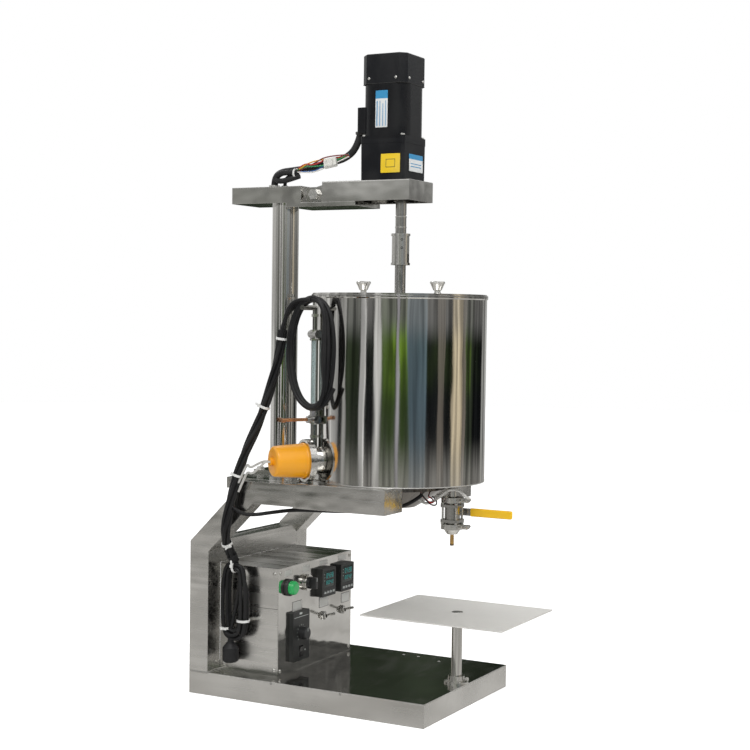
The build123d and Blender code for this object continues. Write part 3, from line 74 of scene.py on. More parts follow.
# Sizes and colours that a user would change
class FillerSizes(bpy.types.PropertyGroup):
    """Sizes of the pieces that dress the machine"""

    strand: bpy.props.FloatProperty(
        name="Cable strand", description="Diameter of one cable in the bundle",
        default=0.0074, min=0.003, max=0.009, unit="LENGTH")
    strand_turns: bpy.props.FloatProperty(
        name="Twist", description="Turns of the strands along the bundle",
        default=1.3, min=0.0, max=6.0)
    lead: bpy.props.FloatProperty(
        name="Motor lead", description="Diameter of the motor lead's sleeve",
        default=0.013, min=0.006, max=0.014, unit="LENGTH")
    wire: bpy.props.FloatProperty(
        name="Wire", description="Diameter of the single wires",
        default=0.0024, min=0.001, max=0.004, unit="LENGTH")
    tie_width: bpy.props.FloatProperty(
        name="Cable tie", description="Width of the cable ties",
        default=0.0046, min=0.002, max=0.008, unit="LENGTH")
    rim_bead: bpy.props.FloatProperty(
        name="Rim bead", description="Radius of the rolled bead on the tank rim",
        default=0.0022, min=0.001, max=0.004, unit="LENGTH")
    screw_head: bpy.props.FloatProperty(
        name="Screw head", description="Radius of the screws' heads",
        default=0.0034, min=0.001, max=0.006, unit="LENGTH")


class FillerColours(bpy.types.PropertyGroup):
    """Colours of the finishes"""

    steel: bpy.props.FloatVectorProperty(
        name="Stainless", description="Colour of the stainless sheet",
        subtype="COLOR", default=(0.66, 0.65, 0.625), min=0, max=1)
    motor: bpy.props.FloatVectorProperty(
        name="Motor", description="Paint of the motor and gearbox",
        subtype="COLOR", default=(0.006, 0.0065, 0.008), min=0, max=1)
    heater: bpy.props.FloatVectorProperty(
        name="Heater cap", description="Colour of the heater cap",
        subtype="COLOR", default=(0.95, 0.40, 0.005), min=0, max=1)
    grip: bpy.props.FloatVectorProperty(
        name="Lever grip", description="Colour of the valve lever's grip",
        subtype="COLOR", default=(0.95, 0.56, 0.004), min=0, max=1)
    lamp: bpy.props.FloatVectorProperty(
        name="Lamp", description="Colour of the lamp lens",
        subtype="COLOR", default=(0.01, 0.42, 0.1), min=0, max=1)
    sheath: bpy.props.FloatVectorProperty(
        name="Cables", description="Colour of the cable sheaths",
        subtype="COLOR", default=(0.012, 0.012, 0.013), min=0, max=1)


def sizes():
    return bpy.context.scene.filler_sizes


def colours():
    return bpy.context.scene.filler_colours


# Shader nodes
def feed(tree, socket, value):
    """Links a socket to an input, or sets a number, vector or colour there."""
    if isinstance(value, bpy.types.NodeSocket):
        tree.links.new(value, socket)
    else:
        socket.default_value = (*value, 1) if socket.type == "RGBA" and len(value) == 3 else value


def add_node(tree, kind, **inputs):
    """A new node with its inputs fed; an underscore stands for a space in an input's name."""
    node = tree.nodes.new(kind)
    for label, value in inputs.items():
        feed(tree, node.inputs[label.replace("_", " ")], value)
    return node


def maths(tree, operation, *values):
    node = tree.nodes.new("ShaderNodeMath")
    node.operation = operation
    for socket, value in zip(node.inputs, values):
        feed(tree, socket, value)
    return node.outputs[0]


def spread(tree, value, low, high):
    """Takes the middle of a noise, 0.35 to 0.65, to low..high, which may be sockets."""
    node = add_node(tree, "ShaderNodeMapRange", Value=value, From_Min=0.35, From_Max=0.65, To_Min=low,
                    To_Max=high)
    node.interpolation_type = "SMOOTHSTEP"
    return node.outputs["Result"]


def blend_colours(tree, share, first, second):
    node = tree.nodes.new("ShaderNodeMix")
    node.data_type = "RGBA"
    first_colour, second_colour = node.inputs[6], node.inputs[7]
    feed(tree, node.inputs["Factor"], share)
    feed(tree, first_colour, first)
    feed(tree, second_colour, second)
    return node.outputs[2]


def place_noise(tree, scale, stretch, detail=4.0, source=None):
    """Noise on Object coordinates, stretched by a vector; scale and stretch may be sockets."""
    if source is None:
        source = tree.nodes.new("ShaderNodeTexCoord").outputs["Object"]
    place = add_node(tree, "ShaderNodeMapping", Vector=source, Scale=stretch).outputs["Vector"]
    return add_node(tree, "ShaderNodeTexNoise", Vector=place, Scale=scale, Detail=detail).outputs["Fac"]


def object_parts(tree):
    """X, Y and Z of the Object coordinates."""
    place = tree.nodes.new("ShaderNodeTexCoord").outputs["Object"]
    return add_node(tree, "ShaderNodeSeparateXYZ", Vector=place).outputs


def new_group(name, inputs):
    """An empty finish group; returns it with its given and its wanted sockets."""
    tree = bpy.data.node_groups.new(name, "ShaderNodeTree")
    for label, value in inputs.items():
        kind = "Float" if isinstance(value, float) else "Color" if len(value) == 4 else "Vector"
        tree.interface.new_socket(label, in_out="INPUT",
                                  socket_type="NodeSocket" + kind).default_value = value
    for label, kind in (("Colour", "Color"), ("Roughness", "Float"), ("Height", "Float")):
        tree.interface.new_socket(label, in_out="OUTPUT", socket_type="NodeSocket" + kind)
    return tree, tree.nodes.new("NodeGroupInput").outputs, tree.nodes.new("NodeGroupOutput").inputs


def make_sheet_grain():
    """Rolled and rubbed sheet: grain, cloudy patches and fingermarks."""
    tree, given, wanted = new_group("Sheet grain", {
        "Colour": (0.6, 0.6, 0.6, 1), "Marked Colour": (0.5, 0.5, 0.5, 1), "Grain Scale": 40.0,
        "Grain Direction": (1, 1, 1), "Smooth Roughness": 0.08, "Rubbed Roughness": 0.2, "Cloud Scale": 7.0,
        "Marks": 0.3})
    grain = place_noise(tree, given["Grain Scale"], given["Grain Direction"], 6.0)
    cloud = place_noise(tree, given["Cloud Scale"], (1, 1, 1), 5.0)
    rough = spread(tree, grain, given["Smooth Roughness"], given["Rubbed Roughness"])
    mark = maths(tree, "MULTIPLY", spread(tree, cloud, 0.0, 1.0), given["Marks"])
    haze_of_mark = 0.12
    feed(tree, wanted["Colour"], blend_colours(tree, mark, given["Colour"], given["Marked Colour"]))
    feed(tree, wanted["Roughness"], maths(tree, "MULTIPLY_ADD", mark, haze_of_mark, rough))
    feed(tree, wanted["Height"], grain)
    return tree


def make_fine_grain():
    """Moulded or sprayed skin: fine pebble, worn and dusty patches."""
    tree, given, wanted = new_group("Fine grain", {
        "Colour": (0.1, 0.1, 0.1, 1), "Dust": (0.3, 0.29, 0.27, 1), "Pebble Scale": 900.0, "Dust Scale": 25.0,
        "Dust Share": 0.08, "Roughness": 0.4, "Roughness Spread": 0.12})
    pebble = place_noise(tree, given["Pebble Scale"], (1, 1, 1), 2.0)
    dusty = place_noise(tree, given["Dust Scale"], (1, 1, 0.6), 6.0)
    share = maths(tree, "MULTIPLY", spread(tree, dusty, 0.0, 1.0), given["Dust Share"])
    most = maths(tree, "ADD", given["Roughness"], given["Roughness Spread"])
    feed(tree, wanted["Colour"], blend_colours(tree, share, given["Colour"], given["Dust"]))
    feed(tree, wanted["Roughness"], spread(tree, dusty, given["Roughness"], most))
    feed(tree, wanted["Height"], pebble)
    return tree


GROUPS = {}
MATERIALS = {}


def grouped(name, maker):
    """The shared node group of that name, built the first time it is asked for."""
    if name not in GROUPS:
        GROUPS[name] = maker()
    return GROUPS[name]


def finish_material(name, group, values, bump=0.05, metallic=0.0, **shader):
    """A Principled material fed by one shared group, or the one already made by that name."""
    if name in MATERIALS:
        return MATERIALS[name]
    material = bpy.data.materials.new(name)
    material.use_nodes = True
    tree = material.node_tree
    principled = tree.nodes["Principled BSDF"]
    node = tree.nodes.new("ShaderNodeGroup")
    node.node_tree = grouped(group, make_sheet_grain if group == "Sheet grain" else make_fine_grain)
    for label, value in values.items():
        feed(tree, node.inputs[label], value)
    feed(tree, principled.inputs["Base Color"], node.outputs["Colour"])
    feed(tree, principled.inputs["Roughness"], node.outputs["Roughness"])
    if bump:
        relief = add_node(tree, "ShaderNodeBump", Strength=bump, Distance=0.0005,
                          Height=node.outputs["Height"])
        feed(tree, principled.inputs["Normal"], relief.outputs["Normal"])
    principled.inputs["Metallic"].default_value = metallic
    for label, value in shader.items():
        feed(tree, principled.inputs[label.replace("_", " ")], value)
    MATERIALS[name] = material
    return material


def shade(colour, factor):
    return tuple(max(0.0, min(1.0, c * factor)) for c in colour)


def metal(name, colour, marked, direction, scale, smooth, rubbed, marks, bump, cloud):
    return finish_material(name, "Sheet grain", {
        "Colour": colour, "Marked Colour": marked, "Grain Scale": scale, "Grain Direction": direction,
        "Smooth Roughness": smooth, "Rubbed Roughness": rubbed, "Marks": marks, "Cloud Scale": cloud},
        bump=bump, metallic=1.0)


def steel(name, direction=(1, 1, 1), scale=250.0, smooth=0.2, rubbed=0.34, marks=0.5, bump=0.03, tone=1.0,
          cloud=7.0, edge=0.0, wave=0.0):
    """Stainless finish: edge rounds the folds that catch the light, wave is the height of the dents."""
    fresh = name not in MATERIALS
    colour = shade(colours().steel, tone)
    material = metal(name, colour, shade(colour, 0.82), direction, scale, smooth, rubbed, marks, bump, cloud)
    if fresh and edge:
        tree = material.node_tree
        bevel = add_node(tree, "ShaderNodeBevel", Radius=edge)
        bevel.samples = 3
        normal = bevel.outputs["Normal"]
        if wave:
            dents = place_noise(tree, 7.0, (1, 0.6, 1), 3.0)
            normal = add_node(tree, "ShaderNodeBump", Strength=0.5, Distance=wave, Height=dents,
                              Normal=normal).outputs["Normal"]
        feed(tree, tree.nodes["Bump"].inputs["Normal"], normal)
    return material


def moulded(name, colour, roughness=0.4, dust=0.08, pebble=900.0, bump=0.15, **shader):
    return finish_material(name, "Fine grain", {
        "Colour": colour, "Pebble Scale": pebble, "Dust Share": dust, "Roughness": roughness}, bump=bump,
        **shader)


def tank_sheet():
    """Mirror sheet whose slight waves run down the wall; the dished bottom below the wall is painted a darker
    brown-grey, as painted shade on the tank's underside.
    """
    wall_foot, wall_start, dish_shade_colour = 0.3985, 0.4005, (0.17, 0.155, 0.14)
    material = steel("tank_mirror", (1, 1, 0.05), 60.0, 0.035, 0.075, 0.25, bump=0.0, cloud=4.0)
    tree = material.node_tree
    principled = tree.nodes["Principled BSDF"].inputs
    waves = place_noise(tree, 9.0, (1, 1, 0.12), 2.0)
    relief = add_node(tree, "ShaderNodeBump", Strength=0.24, Distance=0.004, Height=waves)
    feed(tree, principled["Normal"], relief.outputs["Normal"])
    wall = add_node(tree, "ShaderNodeMapRange", Value=object_parts(tree)["Z"], From_Min=wall_foot,
                    From_Max=wall_start)
    sheet = principled["Base Color"].links[0].from_socket
    # painted shade: the dish below the wall takes the darker brown-grey instead of the bright sheet
    feed(tree, principled["Base Color"], blend_colours(tree, wall.outputs["Result"], dish_shade_colour, sheet))
    return material


def printed(name, ground, bar, bars):
    """Generic sticker: a ground with plain bars; a bar is a list of (axis, low, high)."""
    material = moulded(name, ground, 0.35, dust=0.12, pebble=300.0, bump=0.02)
    tree = material.node_tree
    parts = object_parts(tree)
    total = None
    for limits in bars:
        inside = None
        for axis, low, high in limits:
            for test, bound in (("GREATER_THAN", low), ("LESS_THAN", high)):
                passed = maths(tree, test, parts[axis], bound)
                inside = passed if inside is None else maths(tree, "MULTIPLY", inside, passed)
        total = inside if total is None else maths(tree, "MAXIMUM", total, inside)
    base = tree.nodes["Principled BSDF"].inputs["Base Color"]
    feed(tree, base, blend_colours(tree, total, base.links[0].from_socket, bar))
    return material


def clear_glass():
    return finish_material("gauge_glass", "Fine grain", {
        "Colour": (0.55, 0.68, 0.68), "Dust Share": 0.05, "Roughness": 0.03, "Roughness Spread": 0.03,
        "Dust Scale": 60.0}, bump=0.0, Alpha=0.34)


# Finishes that several groups of pieces share
def cable_sheath():
    return moulded("cable_sheath", colours().sheath, 0.36, dust=0.03, pebble=500.0, bump=0.06,
                   Specular_IOR_Level=0.22)


def tie_nylon():
    return moulded("tie_nylon", (0.82, 0.82, 0.8), 0.45, dust=0.1)


def wire_skin(name, colour, roughness=0.35, dust=0.06):
    return moulded("wire_" + name, colour, roughness, dust=dust, pebble=500.0, bump=0.03)


def grommet_rubber():
    return moulded("grommet_rubber", (0.02, 0.02, 0.02), 0.6, dust=0.2)


def bolt_steel():
    return steel("bolt_steel")


def turned_steel():
    return steel("turned_steel", (1, 1, 0.02), 300.0, 0.12, 0.22, 0.2)


def fitting_steel():
    return steel("fitting_steel", (1, 1, 1), 220.0, 0.10, 0.20, 0.4, bump=0.05, tone=0.62)


def weld_bead():
    return steel("weld_bead", (1, 1, 1), 700.0, 0.25, 0.5, 0.7, bump=0.3, tone=0.75)


# Mesh helpers
def keep_mesh(name, shape, material, body="root", smooth=True):
    """Makes an object of a bmesh, at the origin, and lets it ride on a body."""
    mesh = bpy.data.meshes.new(name)
    bmesh.ops.remove_doubles(shape, verts=shape.verts, dist=1e-6)
    bmesh.ops.recalc_face_normals(shape, faces=shape.faces)
    shape.to_mesh(mesh)
    shape.free()
    for polygon in mesh.polygons:
        polygon.use_smooth = smooth
    piece = bpy.data.objects.new(name, mesh)
    bpy.context.scene.collection.objects.link(piece)
    mesh.materials.append(material)
    if smooth:
        mesh.set_sharp_from_angle(angle=math.radians(35))
    if body:
        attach(piece, body)
    return piece


def basis(origin, normal, upward=UP):
    """Matrix whose Z is the normal and whose Y is as near upward as it can be."""
    z = Vector(normal).normalized()
    up = Vector(upward)
    if abs(z.dot(up)) > 0.99:
        up = Vector((0, 1, 0))
    x = up.cross(z).normalized()
    place = Matrix((x, z.cross(x), z)).transposed().to_4x4()
    place.translation = Vector(origin)
    return place


def lathe(shape, place, profile, steps=32):
    """Adds a turned form: profile is (radius, height) from the bottom up, place a matrix or a point."""
    if not isinstance(place, Matrix):
        place = Matrix.Translation(place)
    angles = [math.tau * i / steps for i in range(steps)]
    rings = []
    for radius, height in profile:
        if radius < 1e-7:
            rings.append([shape.verts.new(place @ Vector((0, 0, height)))] * steps)
            continue
        spots = [Vector((radius * math.cos(angle), radius * math.sin(angle), height)) for angle in angles]
        rings.append([shape.verts.new(place @ spot) for spot in spots])
    for low, high in zip(rings, rings[1:]):
        for i in range(steps):
            j = (i + 1) % steps
            corners = []
            for vert in (low[i], low[j], high[j], high[i]):
                if vert not in corners:
                    corners.append(vert)
            if len(corners) > 2:
                shape.faces.new(corners)


def soft_block(shape, place, width, height, depth, edge, corner=None, segments=3):
    """Adds a block with rounded corners and softened front edges, standing on the place's XY plane."""
    corner = edge if corner is None else corner
    outline = []
    for cx, cy, first in ((1, 1, 0), (-1, 1, 90), (-1, -1, 180), (1, -1, 270)):
        for i in range(segments + 1):
            angle = math.radians(first + 90 * i / segments)
            outline.append((cx * (width / 2 - corner), cy * (height / 2 - corner), math.cos(angle),
                            math.sin(angle)))
    levels = [(0.0, corner)]
    for i in range(segments + 1):
        angle = math.radians(90 * i / segments)
        levels.append((depth - edge + edge * math.sin(angle), corner - edge + edge * math.cos(angle)))
    rings = []
    for z, reach in levels:
        rings.append([shape.verts.new(place @ Vector((x + reach * c, y + reach * s, z))) for x, y, c,
                      s in outline])
    for low, high in zip(rings, rings[1:]):
        for i in range(len(outline)):
            j = (i + 1) % len(outline)
            shape.faces.new((low[i], low[j], high[j], high[i]))
    shape.faces.new(rings[-1])
    shape.faces.new(rings[0][::-1])


def line_frames(points):
    """Direction and two sides at each point of a line, carried along without twist."""
    last = len(points) - 1
    ways = [(points[min(i + 1, last)] - points[max(i - 1, 0)]).normalized() for i in range(last + 1)]
    side = ways[0].orthogonal().normalized()
    frames = []
    for way in ways:
        side = (side - way * side.dot(way)).normalized()
        frames.append((way, side, way.cross(side)))
    return frames


def sweep_tube(shape, points, radius, sides=12, caps=True):
    """Adds a tube that follows points."""
    points = [Vector(point) for point in points]
    frames = line_frames(points)
    rings = []
    for point, (way, side, other) in zip(points, frames):
        ring = []
        for k in range(sides):
            angle = math.tau * k / sides
            out = side * math.cos(angle) * radius + other * math.sin(angle) * radius
            ring.append(shape.verts.new(point + out))
        rings.append(ring)
    for low, high in zip(rings, rings[1:]):
        for k in range(sides):
            j = (k + 1) % sides
            shape.faces.new((low[k], low[j], high[j], high[k]))
    if caps:
        for ring, point, way in ((rings[0], points[0], -frames[0][0]),
                                 (rings[-1], points[-1], frames[-1][0])):
            tip = shape.verts.new(point + way * radius * 0.3)
            for k in range(sides):
                shape.faces.new((ring[k], ring[(k + 1) % sides], tip))


def strands(points, count, reach, radius, turns):
    """Tubes laid round a line, twisted together."""
    shape = bmesh.new()
    frames = line_frames(points)
    for k in range(count):
        route = []
        for i, (point, (_, one, two)) in enumerate(zip(points, frames)):
            angle = math.tau * (k / count + turns * i / len(points))
            route.append(point + one * math.cos(angle) * reach + two * math.sin(angle) * reach)
        sweep_tube(shape, route, radius, 10)
    return shape


def nurbs_line(control, resolution=10):
    """Points read from a smooth NURBS curve with those control points."""
    curve = bpy.data.curves.new("line", "CURVE")
    curve.dimensions = "3D"
    curve.resolution_u = resolution
    spline = curve.splines.new("NURBS")
    spline.points.add(len(control) - 1)
    for point, place in zip(spline.points, control):
        point.co = (*place, 1)
    spline.order_u = 3
    spline.use_endpoint_u = True
    holder = bpy.data.objects.new("line", curve)
    bpy.context.scene.collection.objects.link(holder)
    seen = bpy.context.evaluated_depsgraph_get()
    mesh = bpy.data.meshes.new_from_object(holder.evaluated_get(seen))
    points = [vert.co.copy() for vert in mesh.vertices]
    bpy.data.objects.remove(holder)
    bpy.data.curves.remove(curve)
    bpy.data.meshes.remove(mesh)
    return points


def wire_piece(name, control, radius, material, body="root", sides=10, resolution=10):
    shape = bmesh.new()
    sweep_tube(shape, nurbs_line(control, resolution), radius, sides)
    return keep_mesh(name, shape, material, body)


def turned_piece(name, place, profile, steps, material, body="root", smooth=True):
    shape = bmesh.new()
    lathe(shape, place, profile, steps)
    return keep_mesh(name, shape, material, body, smooth)


def dress(material, *nodes):
    """Gives CAD nodes their finish."""
    for node in nodes:
        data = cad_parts[node].data
        data.materials.clear()
        data.materials.append(material)


# Repeats made with Geometry Nodes
def make_spot_tree():
    """Puts one copy of a part at each point, turned to the point's facing direction."""
    tree = bpy.data.node_groups.new("Copies on spots", "GeometryNodeTree")
    for label, kind in (("Spots", "Geometry"), ("Part", "Object"), ("Turn Seed", "Int"),
                        ("Most Turn", "Float"),
                        ("Finish", "Material")):
        tree.interface.new_socket(label, in_out="INPUT", socket_type="NodeSocket" + kind)
    tree.interface.new_socket("Geometry", in_out="OUTPUT", socket_type="NodeSocketGeometry")
    given = tree.nodes.new("NodeGroupInput").outputs
    facing = tree.nodes.new("GeometryNodeInputNamedAttribute")
    facing.data_type = "FLOAT_VECTOR"
    facing.inputs["Name"].default_value = "facing"
    align = add_node(tree, "FunctionNodeAlignRotationToVector", Vector=facing.outputs["Attribute"])
    align.axis = "Z"
    chance = tree.nodes.new("FunctionNodeRandomValue")
    chance.data_type = "FLOAT"
    feed(tree, chance.inputs["Seed"], given["Turn Seed"])
    float_most, float_value = chance.inputs[3], chance.outputs[1]
    feed(tree, float_most, given["Most Turn"])
    angles = add_node(tree, "ShaderNodeCombineXYZ", Z=float_value)
    spin = add_node(tree, "FunctionNodeRotateRotation", Rotation=align.outputs["Rotation"],
                    Rotate_By=angles.outputs["Vector"])
    spin.rotation_space = "LOCAL"
    part = add_node(tree, "GeometryNodeObjectInfo", Object=given["Part"])
    place = add_node(tree, "GeometryNodeInstanceOnPoints", Points=given["Spots"],
                     Instance=part.outputs["Geometry"],
                     Rotation=spin.outputs["Rotation"])
    real = add_node(tree, "GeometryNodeRealizeInstances", Geometry=place.outputs["Instances"])
    paint = add_node(tree, "GeometryNodeSetMaterial", Geometry=real.outputs["Geometry"],
                     Material=given["Finish"])
    feed(tree, tree.nodes.new("NodeGroupOutput").inputs["Geometry"], paint.outputs["Geometry"])
    return tree


def copies(name, part_shape, spots, material, body="root", most_turn=0.0, seed=3, smooth=True):
    """One mesh of a part copied to every (place, facing) spot by the tree above."""
    part_mesh = bpy.data.meshes.new(name + "_part")
    bmesh.ops.recalc_face_normals(part_shape, faces=part_shape.faces)
    part_shape.to_mesh(part_mesh)
    part_shape.free()
    for polygon in part_mesh.polygons:
        polygon.use_smooth = smooth
    part_mesh.set_sharp_from_angle(angle=math.radians(35))
    part = bpy.data.objects.new(name + "_part", part_mesh)
    points = bpy.data.meshes.new(name + "_spots")
    points.from_pydata([tuple(place) for place, _ in spots], [], [])
    facing = points.attributes.new("facing", "FLOAT_VECTOR", "POINT")
    facing.data.foreach_set("vector", [value for _, way in spots for value in Vector(way).normalized()])
    holder = bpy.data.objects.new(name + "_spots", points)
    tree = grouped("Copies on spots", make_spot_tree)
    repeat = holder.modifiers.new("Copies", "NODES")
    repeat.node_group = tree
    socket = {item.name: item.identifier for item in tree.interface.items_tree if item.in_out == "INPUT"}
    repeat[socket["Part"]] = part
    repeat[socket["Turn Seed"]] = seed
    repeat[socket["Most Turn"]] = most_turn
    repeat[socket["Finish"]] = material
    for helper in (part, holder):
        bpy.context.scene.collection.objects.link(helper)
    seen = bpy.context.evaluated_depsgraph_get()
    mesh = bpy.data.meshes.new_from_object(holder.evaluated_get(seen))
    mesh.name = name
    for helper in (holder, part):
        bpy.data.objects.remove(helper)
    piece = bpy.data.objects.new(name, mesh)
    bpy.context.scene.collection.objects.link(piece)
    if not mesh.materials:
        mesh.materials.append(material)
    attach(piece, body)
    return piece


def pan_head(radius):
    """Screw head with a crossed recess, standing on XY."""
    shape = bmesh.new()
    profile = ((1, 0), (1, 0.35), (0.86, 0.75), (0.55, 1), (0.3, 1), (0.22, 0.45), (0, 0.4))
    lathe(shape, (0, 0, 0), [(radius * out, radius * 0.55 * rise) for out, rise in profile], 16)
    return shape


def hex_head(radius, depth):
    """Hexagon head or nut with a chamfered top."""
    shape = bmesh.new()
    profile = ((1, 0), (1, 0.85), (0.9, 1), (0.5, 1), (0.46, 0.9), (0, 0.9))
    lathe(shape, (0, 0, 0), [(radius * out, depth * rise) for out, rise in profile], 6)
    return shape


def tie_band(reach, width):
    """Cable tie: a flat band round Z with its lock and trimmed tail."""
    outside = reach + 0.0012
    shape = bmesh.new()
    lathe(shape, (0, 0, 0), [
        (reach, -width / 2), (outside, -width / 2 + 0.0003), (outside, width / 2 - 0.0003),
        (reach, width / 2)], 28)
    lathe(shape, (0, 0, 0), [(reach, width / 2), (reach - 0.0004, 0), (reach, -width / 2)], 28)
    soft_block(shape, basis((reach, 0, 0), RIGHT), 0.0055, width * 1.15, 0.0042, 0.0006)
    soft_block(shape, basis((reach + 0.002, 0.0022, 0), (0.3, 1, 0)), 0.0012, width * 0.8, 0.009, 0.0003)
    return shape


# Cables, in the shape they are tied in
BUNDLE = [
    (-0.166, 0.0525, 0.672), (-0.166, 0.057, 0.636), (-0.164, 0.071, 0.590), (-0.163, 0.088, 0.540),
    (-0.168, 0.104, 0.496), (-0.179, 0.119, 0.455), (-0.188, 0.131, 0.410), (-0.190, 0.146, 0.358),
    (-0.188, 0.157, 0.307), (-0.173, 0.162, 0.277), (-0.153, 0.158, 0.248)]
LEAD = [
    (-0.023, -0.0205, 1.0296), (-0.024, -0.014, 1.004), (-0.025, 0.012, 0.985), (-0.027, 0.046, 0.980),
    (-0.028, 0.084, 0.971), (-0.029, 0.118, 0.968), (-0.028, 0.146, 0.966), (-0.028, 0.160, 0.955),
    (-0.028, 0.160, 0.9377)]


def coil_line(centre, half_width, half_height, turns, reach, start, lead_in, lead_out):
    """Control points of a coil that hangs in an upright plane along Y, its turns lying round each other."""
    per_turn, widening = 14, 0.2
    control = list(lead_in)
    straight = half_height - half_width
    for i in range(int(turns * per_turn) + 1):
        turn = i / per_turn
        angle = start + math.tau * turn
        wind = math.radians(72) * turn + 0.6
        side, rise = math.cos(angle), math.sin(angle)
        leg = math.copysign(straight, rise) * min(1.0, abs(rise) * 2.2)
        fall = 1.0 + widening * (0.5 - (leg + rise * half_width) / (2 * half_height))
        bend = half_width + math.cos(wind) * reach * fall
        aside = math.sin(wind) * reach * fall
        control.append((centre[0] + aside, centre[1] + side * bend, centre[2] + leg + rise * bend))
    return control + list(lead_out)


def hung_coil(centre, half_width, half_height, turns, reach, fan):
    """Control points of a coil over an arm: its turns lie together on the left and fan out on the right."""
    per_turn = 18
    control = []
    for i in range(int(turns * per_turn) + 1):
        turn = i / per_turn
        angle = math.radians(215) + math.tau * turn
        y, z = math.cos(angle), math.sin(angle)
        wind = math.radians(82) * turn + 0.4
        right = max(0.0, -y) ** 1.5
        slack = -fan * turn * right
        out = math.cos(wind) * reach * (1 - 0.6 * right) + slack
        stretch = 0.62 + 0.38 * abs(z) ** 0.7
        control.append((
            centre[0] + math.sin(wind) * reach * (1 - 0.3 * right) - 0.0025 * (turn % 1) * right,
            centre[1] + y * (half_width + out) * stretch ** (0.35 * abs(z)),
            centre[2] + math.copysign(abs(z) ** 0.86, z) * (half_height + out * 0.7)))
    return control


def plug_finish():
    return moulded("plug_skin", shade(colours().sheath, 1.2), 0.42, dust=0.03, pebble=1200.0,
                   Specular_IOR_Level=0.25)


def make_bundle():
    """Four strands twisted together down the brace"""
    radius = sizes().strand / 2
    line = nurbs_line(BUNDLE, 16)
    shape = strands(line, 4, radius * 1.43, radius, sizes().strand_turns)
    bundle = keep_mesh("bundle_strands", shape, cable_sheath())
    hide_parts("cable_bundle")


def make_gauge_coil():
    """Coil over the gauge's arm and its four tails into the bundle"""
    radius = sizes().strand / 2
    coil = hung_coil((-0.168, -0.013, 0.6323), 0.049, 0.097, 4.6, 0.0045, 0.0078)
    line = nurbs_line(coil, 6)
    shape = bmesh.new()
    sweep_tube(shape, line, radius, 10)
    hank = keep_mesh("gauge_coil", shape, cable_sheath())
    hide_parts("cable_hank")
    for k in range(4):
        aside = 0.0042 * (k - 1.5)
        control = [(-0.171 + aside * 0.6, -0.010 + 0.004 * k, 0.7265 - 0.002 * k),
                   (-0.170 + aside, 0.016 + 0.003 * k, 0.7270 - 0.003 * k),
                   (-0.168 + aside, 0.036 + 0.003 * k, 0.7130 - 0.004 * k),
                   (-0.167 + aside, 0.0475 + aside * 0.6, 0.6900),
                   (-0.1665 + aside * 0.8, 0.0525, 0.6680),
                   (-0.166 + aside * 0.8, 0.0540, 0.6540)]
        wire_piece(f"coil_tail_{k + 1}", control, radius * 0.97, cable_sheath(), resolution=8)


def make_box_coil():
    """Coil beside the box with the plug on its end"""
    low_radius = 0.0036
    start = [(-0.153, 0.158, 0.248), (-0.1497, 0.1570, 0.2425), (-0.1480, 0.1535, 0.2350)]
    finish = [(-0.1512, 0.1500, 0.2380), (-0.1515, 0.1468, 0.2230), (-0.1518, 0.1485, 0.2000),
              (-0.152, 0.1540, 0.1700), (-0.152, 0.1610, 0.1400), (-0.152, 0.1655, 0.1240),
              (-0.152, 0.166, 0.1112)]
    coil = coil_line((-0.152, 0.158, 0.176), 0.0200, 0.064, 4.75, 0.0064, math.radians(168), start,
                     finish)
    line = nurbs_line(coil, 6)
    shape = bmesh.new()
    sweep_tube(shape, line, low_radius, 10)
    drop = keep_mesh("box_coil", shape, cable_sheath())
    dress(plug_finish(), "mains_plug")
    ribs = bmesh.new()
    for i in range(6):
        lathe(ribs, (-0.152, 0.166, 0.0995 + i * 0.0019), [
            (0.0040, -0.0006), (0.0052, -0.0004), (0.0052, 0.0004), (0.0040, 0.0006)], 20)
    sleeve = keep_mesh("plug_ribs", ribs, plug_finish())
    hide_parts("drop_hank")


def finish_bundle():
    """Tape at the bundle's lower end, and the cable ties"""
    radius = sizes().strand / 2
    tape = bmesh.new()
    bundle_line = nurbs_line(BUNDLE, 16)
    way = (bundle_line[-1] - bundle_line[-4]).normalized()
    lathe(tape, basis(bundle_line[-1] - way * 0.016, way), [
        (0.0088, 0), (0.0096, 0.001), (0.0094, 0.009), (0.0080, 0.015), (0.0060, 0.020), (0.0046, 0.0235),
        (0.0034, 0.024)], 28)
    keep_mesh("bundle_tape", tape, plug_finish())
    spots = []
    for share in (0.03, 0.30, 0.62, 0.93):
        i = int(share * (len(bundle_line) - 2))
        spots.append((bundle_line[i], bundle_line[i + 1] - bundle_line[i]))
    copies("bundle_ties", tie_band(radius * 2.45, sizes().tie_width), spots, tie_nylon(), most_turn=ANY_TURN)
    low = [((-0.152, 0.1765, 0.124), UP), ((-0.152, 0.1395, 0.140), UP),
           ((-0.152, 0.158, 0.2385), BACK)]
    copies("coil_ties", tie_band(0.0108, sizes().tie_width), low, tie_nylon(), most_turn=ANY_TURN, seed=5)


class FILLER_OT_cables(bpy.types.Operator):
    """Tied cables: the coil on the gauge, the run down the brace, the coil by the box, the plug"""

    bl_idname = "filler.cables"
    bl_label = "Cables"

    def execute(self, context):
        make_bundle()
        make_gauge_coil()
        make_box_coil()
        finish_bundle()
        return {"FINISHED"}


# Motor lead
def sleeve_finish():
    return moulded("sleeve_skin", shade(colours().sheath, 1.1), 0.5, dust=0.04, pebble=700.0, bump=0.3,
                   Specular_IOR_Level=0.25)


def make_lead():
    """Sleeve of the motor lead"""
    line = nurbs_line(LEAD, 14)
    shape = bmesh.new()
    sweep_tube(shape, line, sizes().lead / 2, 16)
    lead = keep_mesh("lead_sleeve", shape, sleeve_finish(), None)
    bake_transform(lead)
    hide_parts("motor_lead")


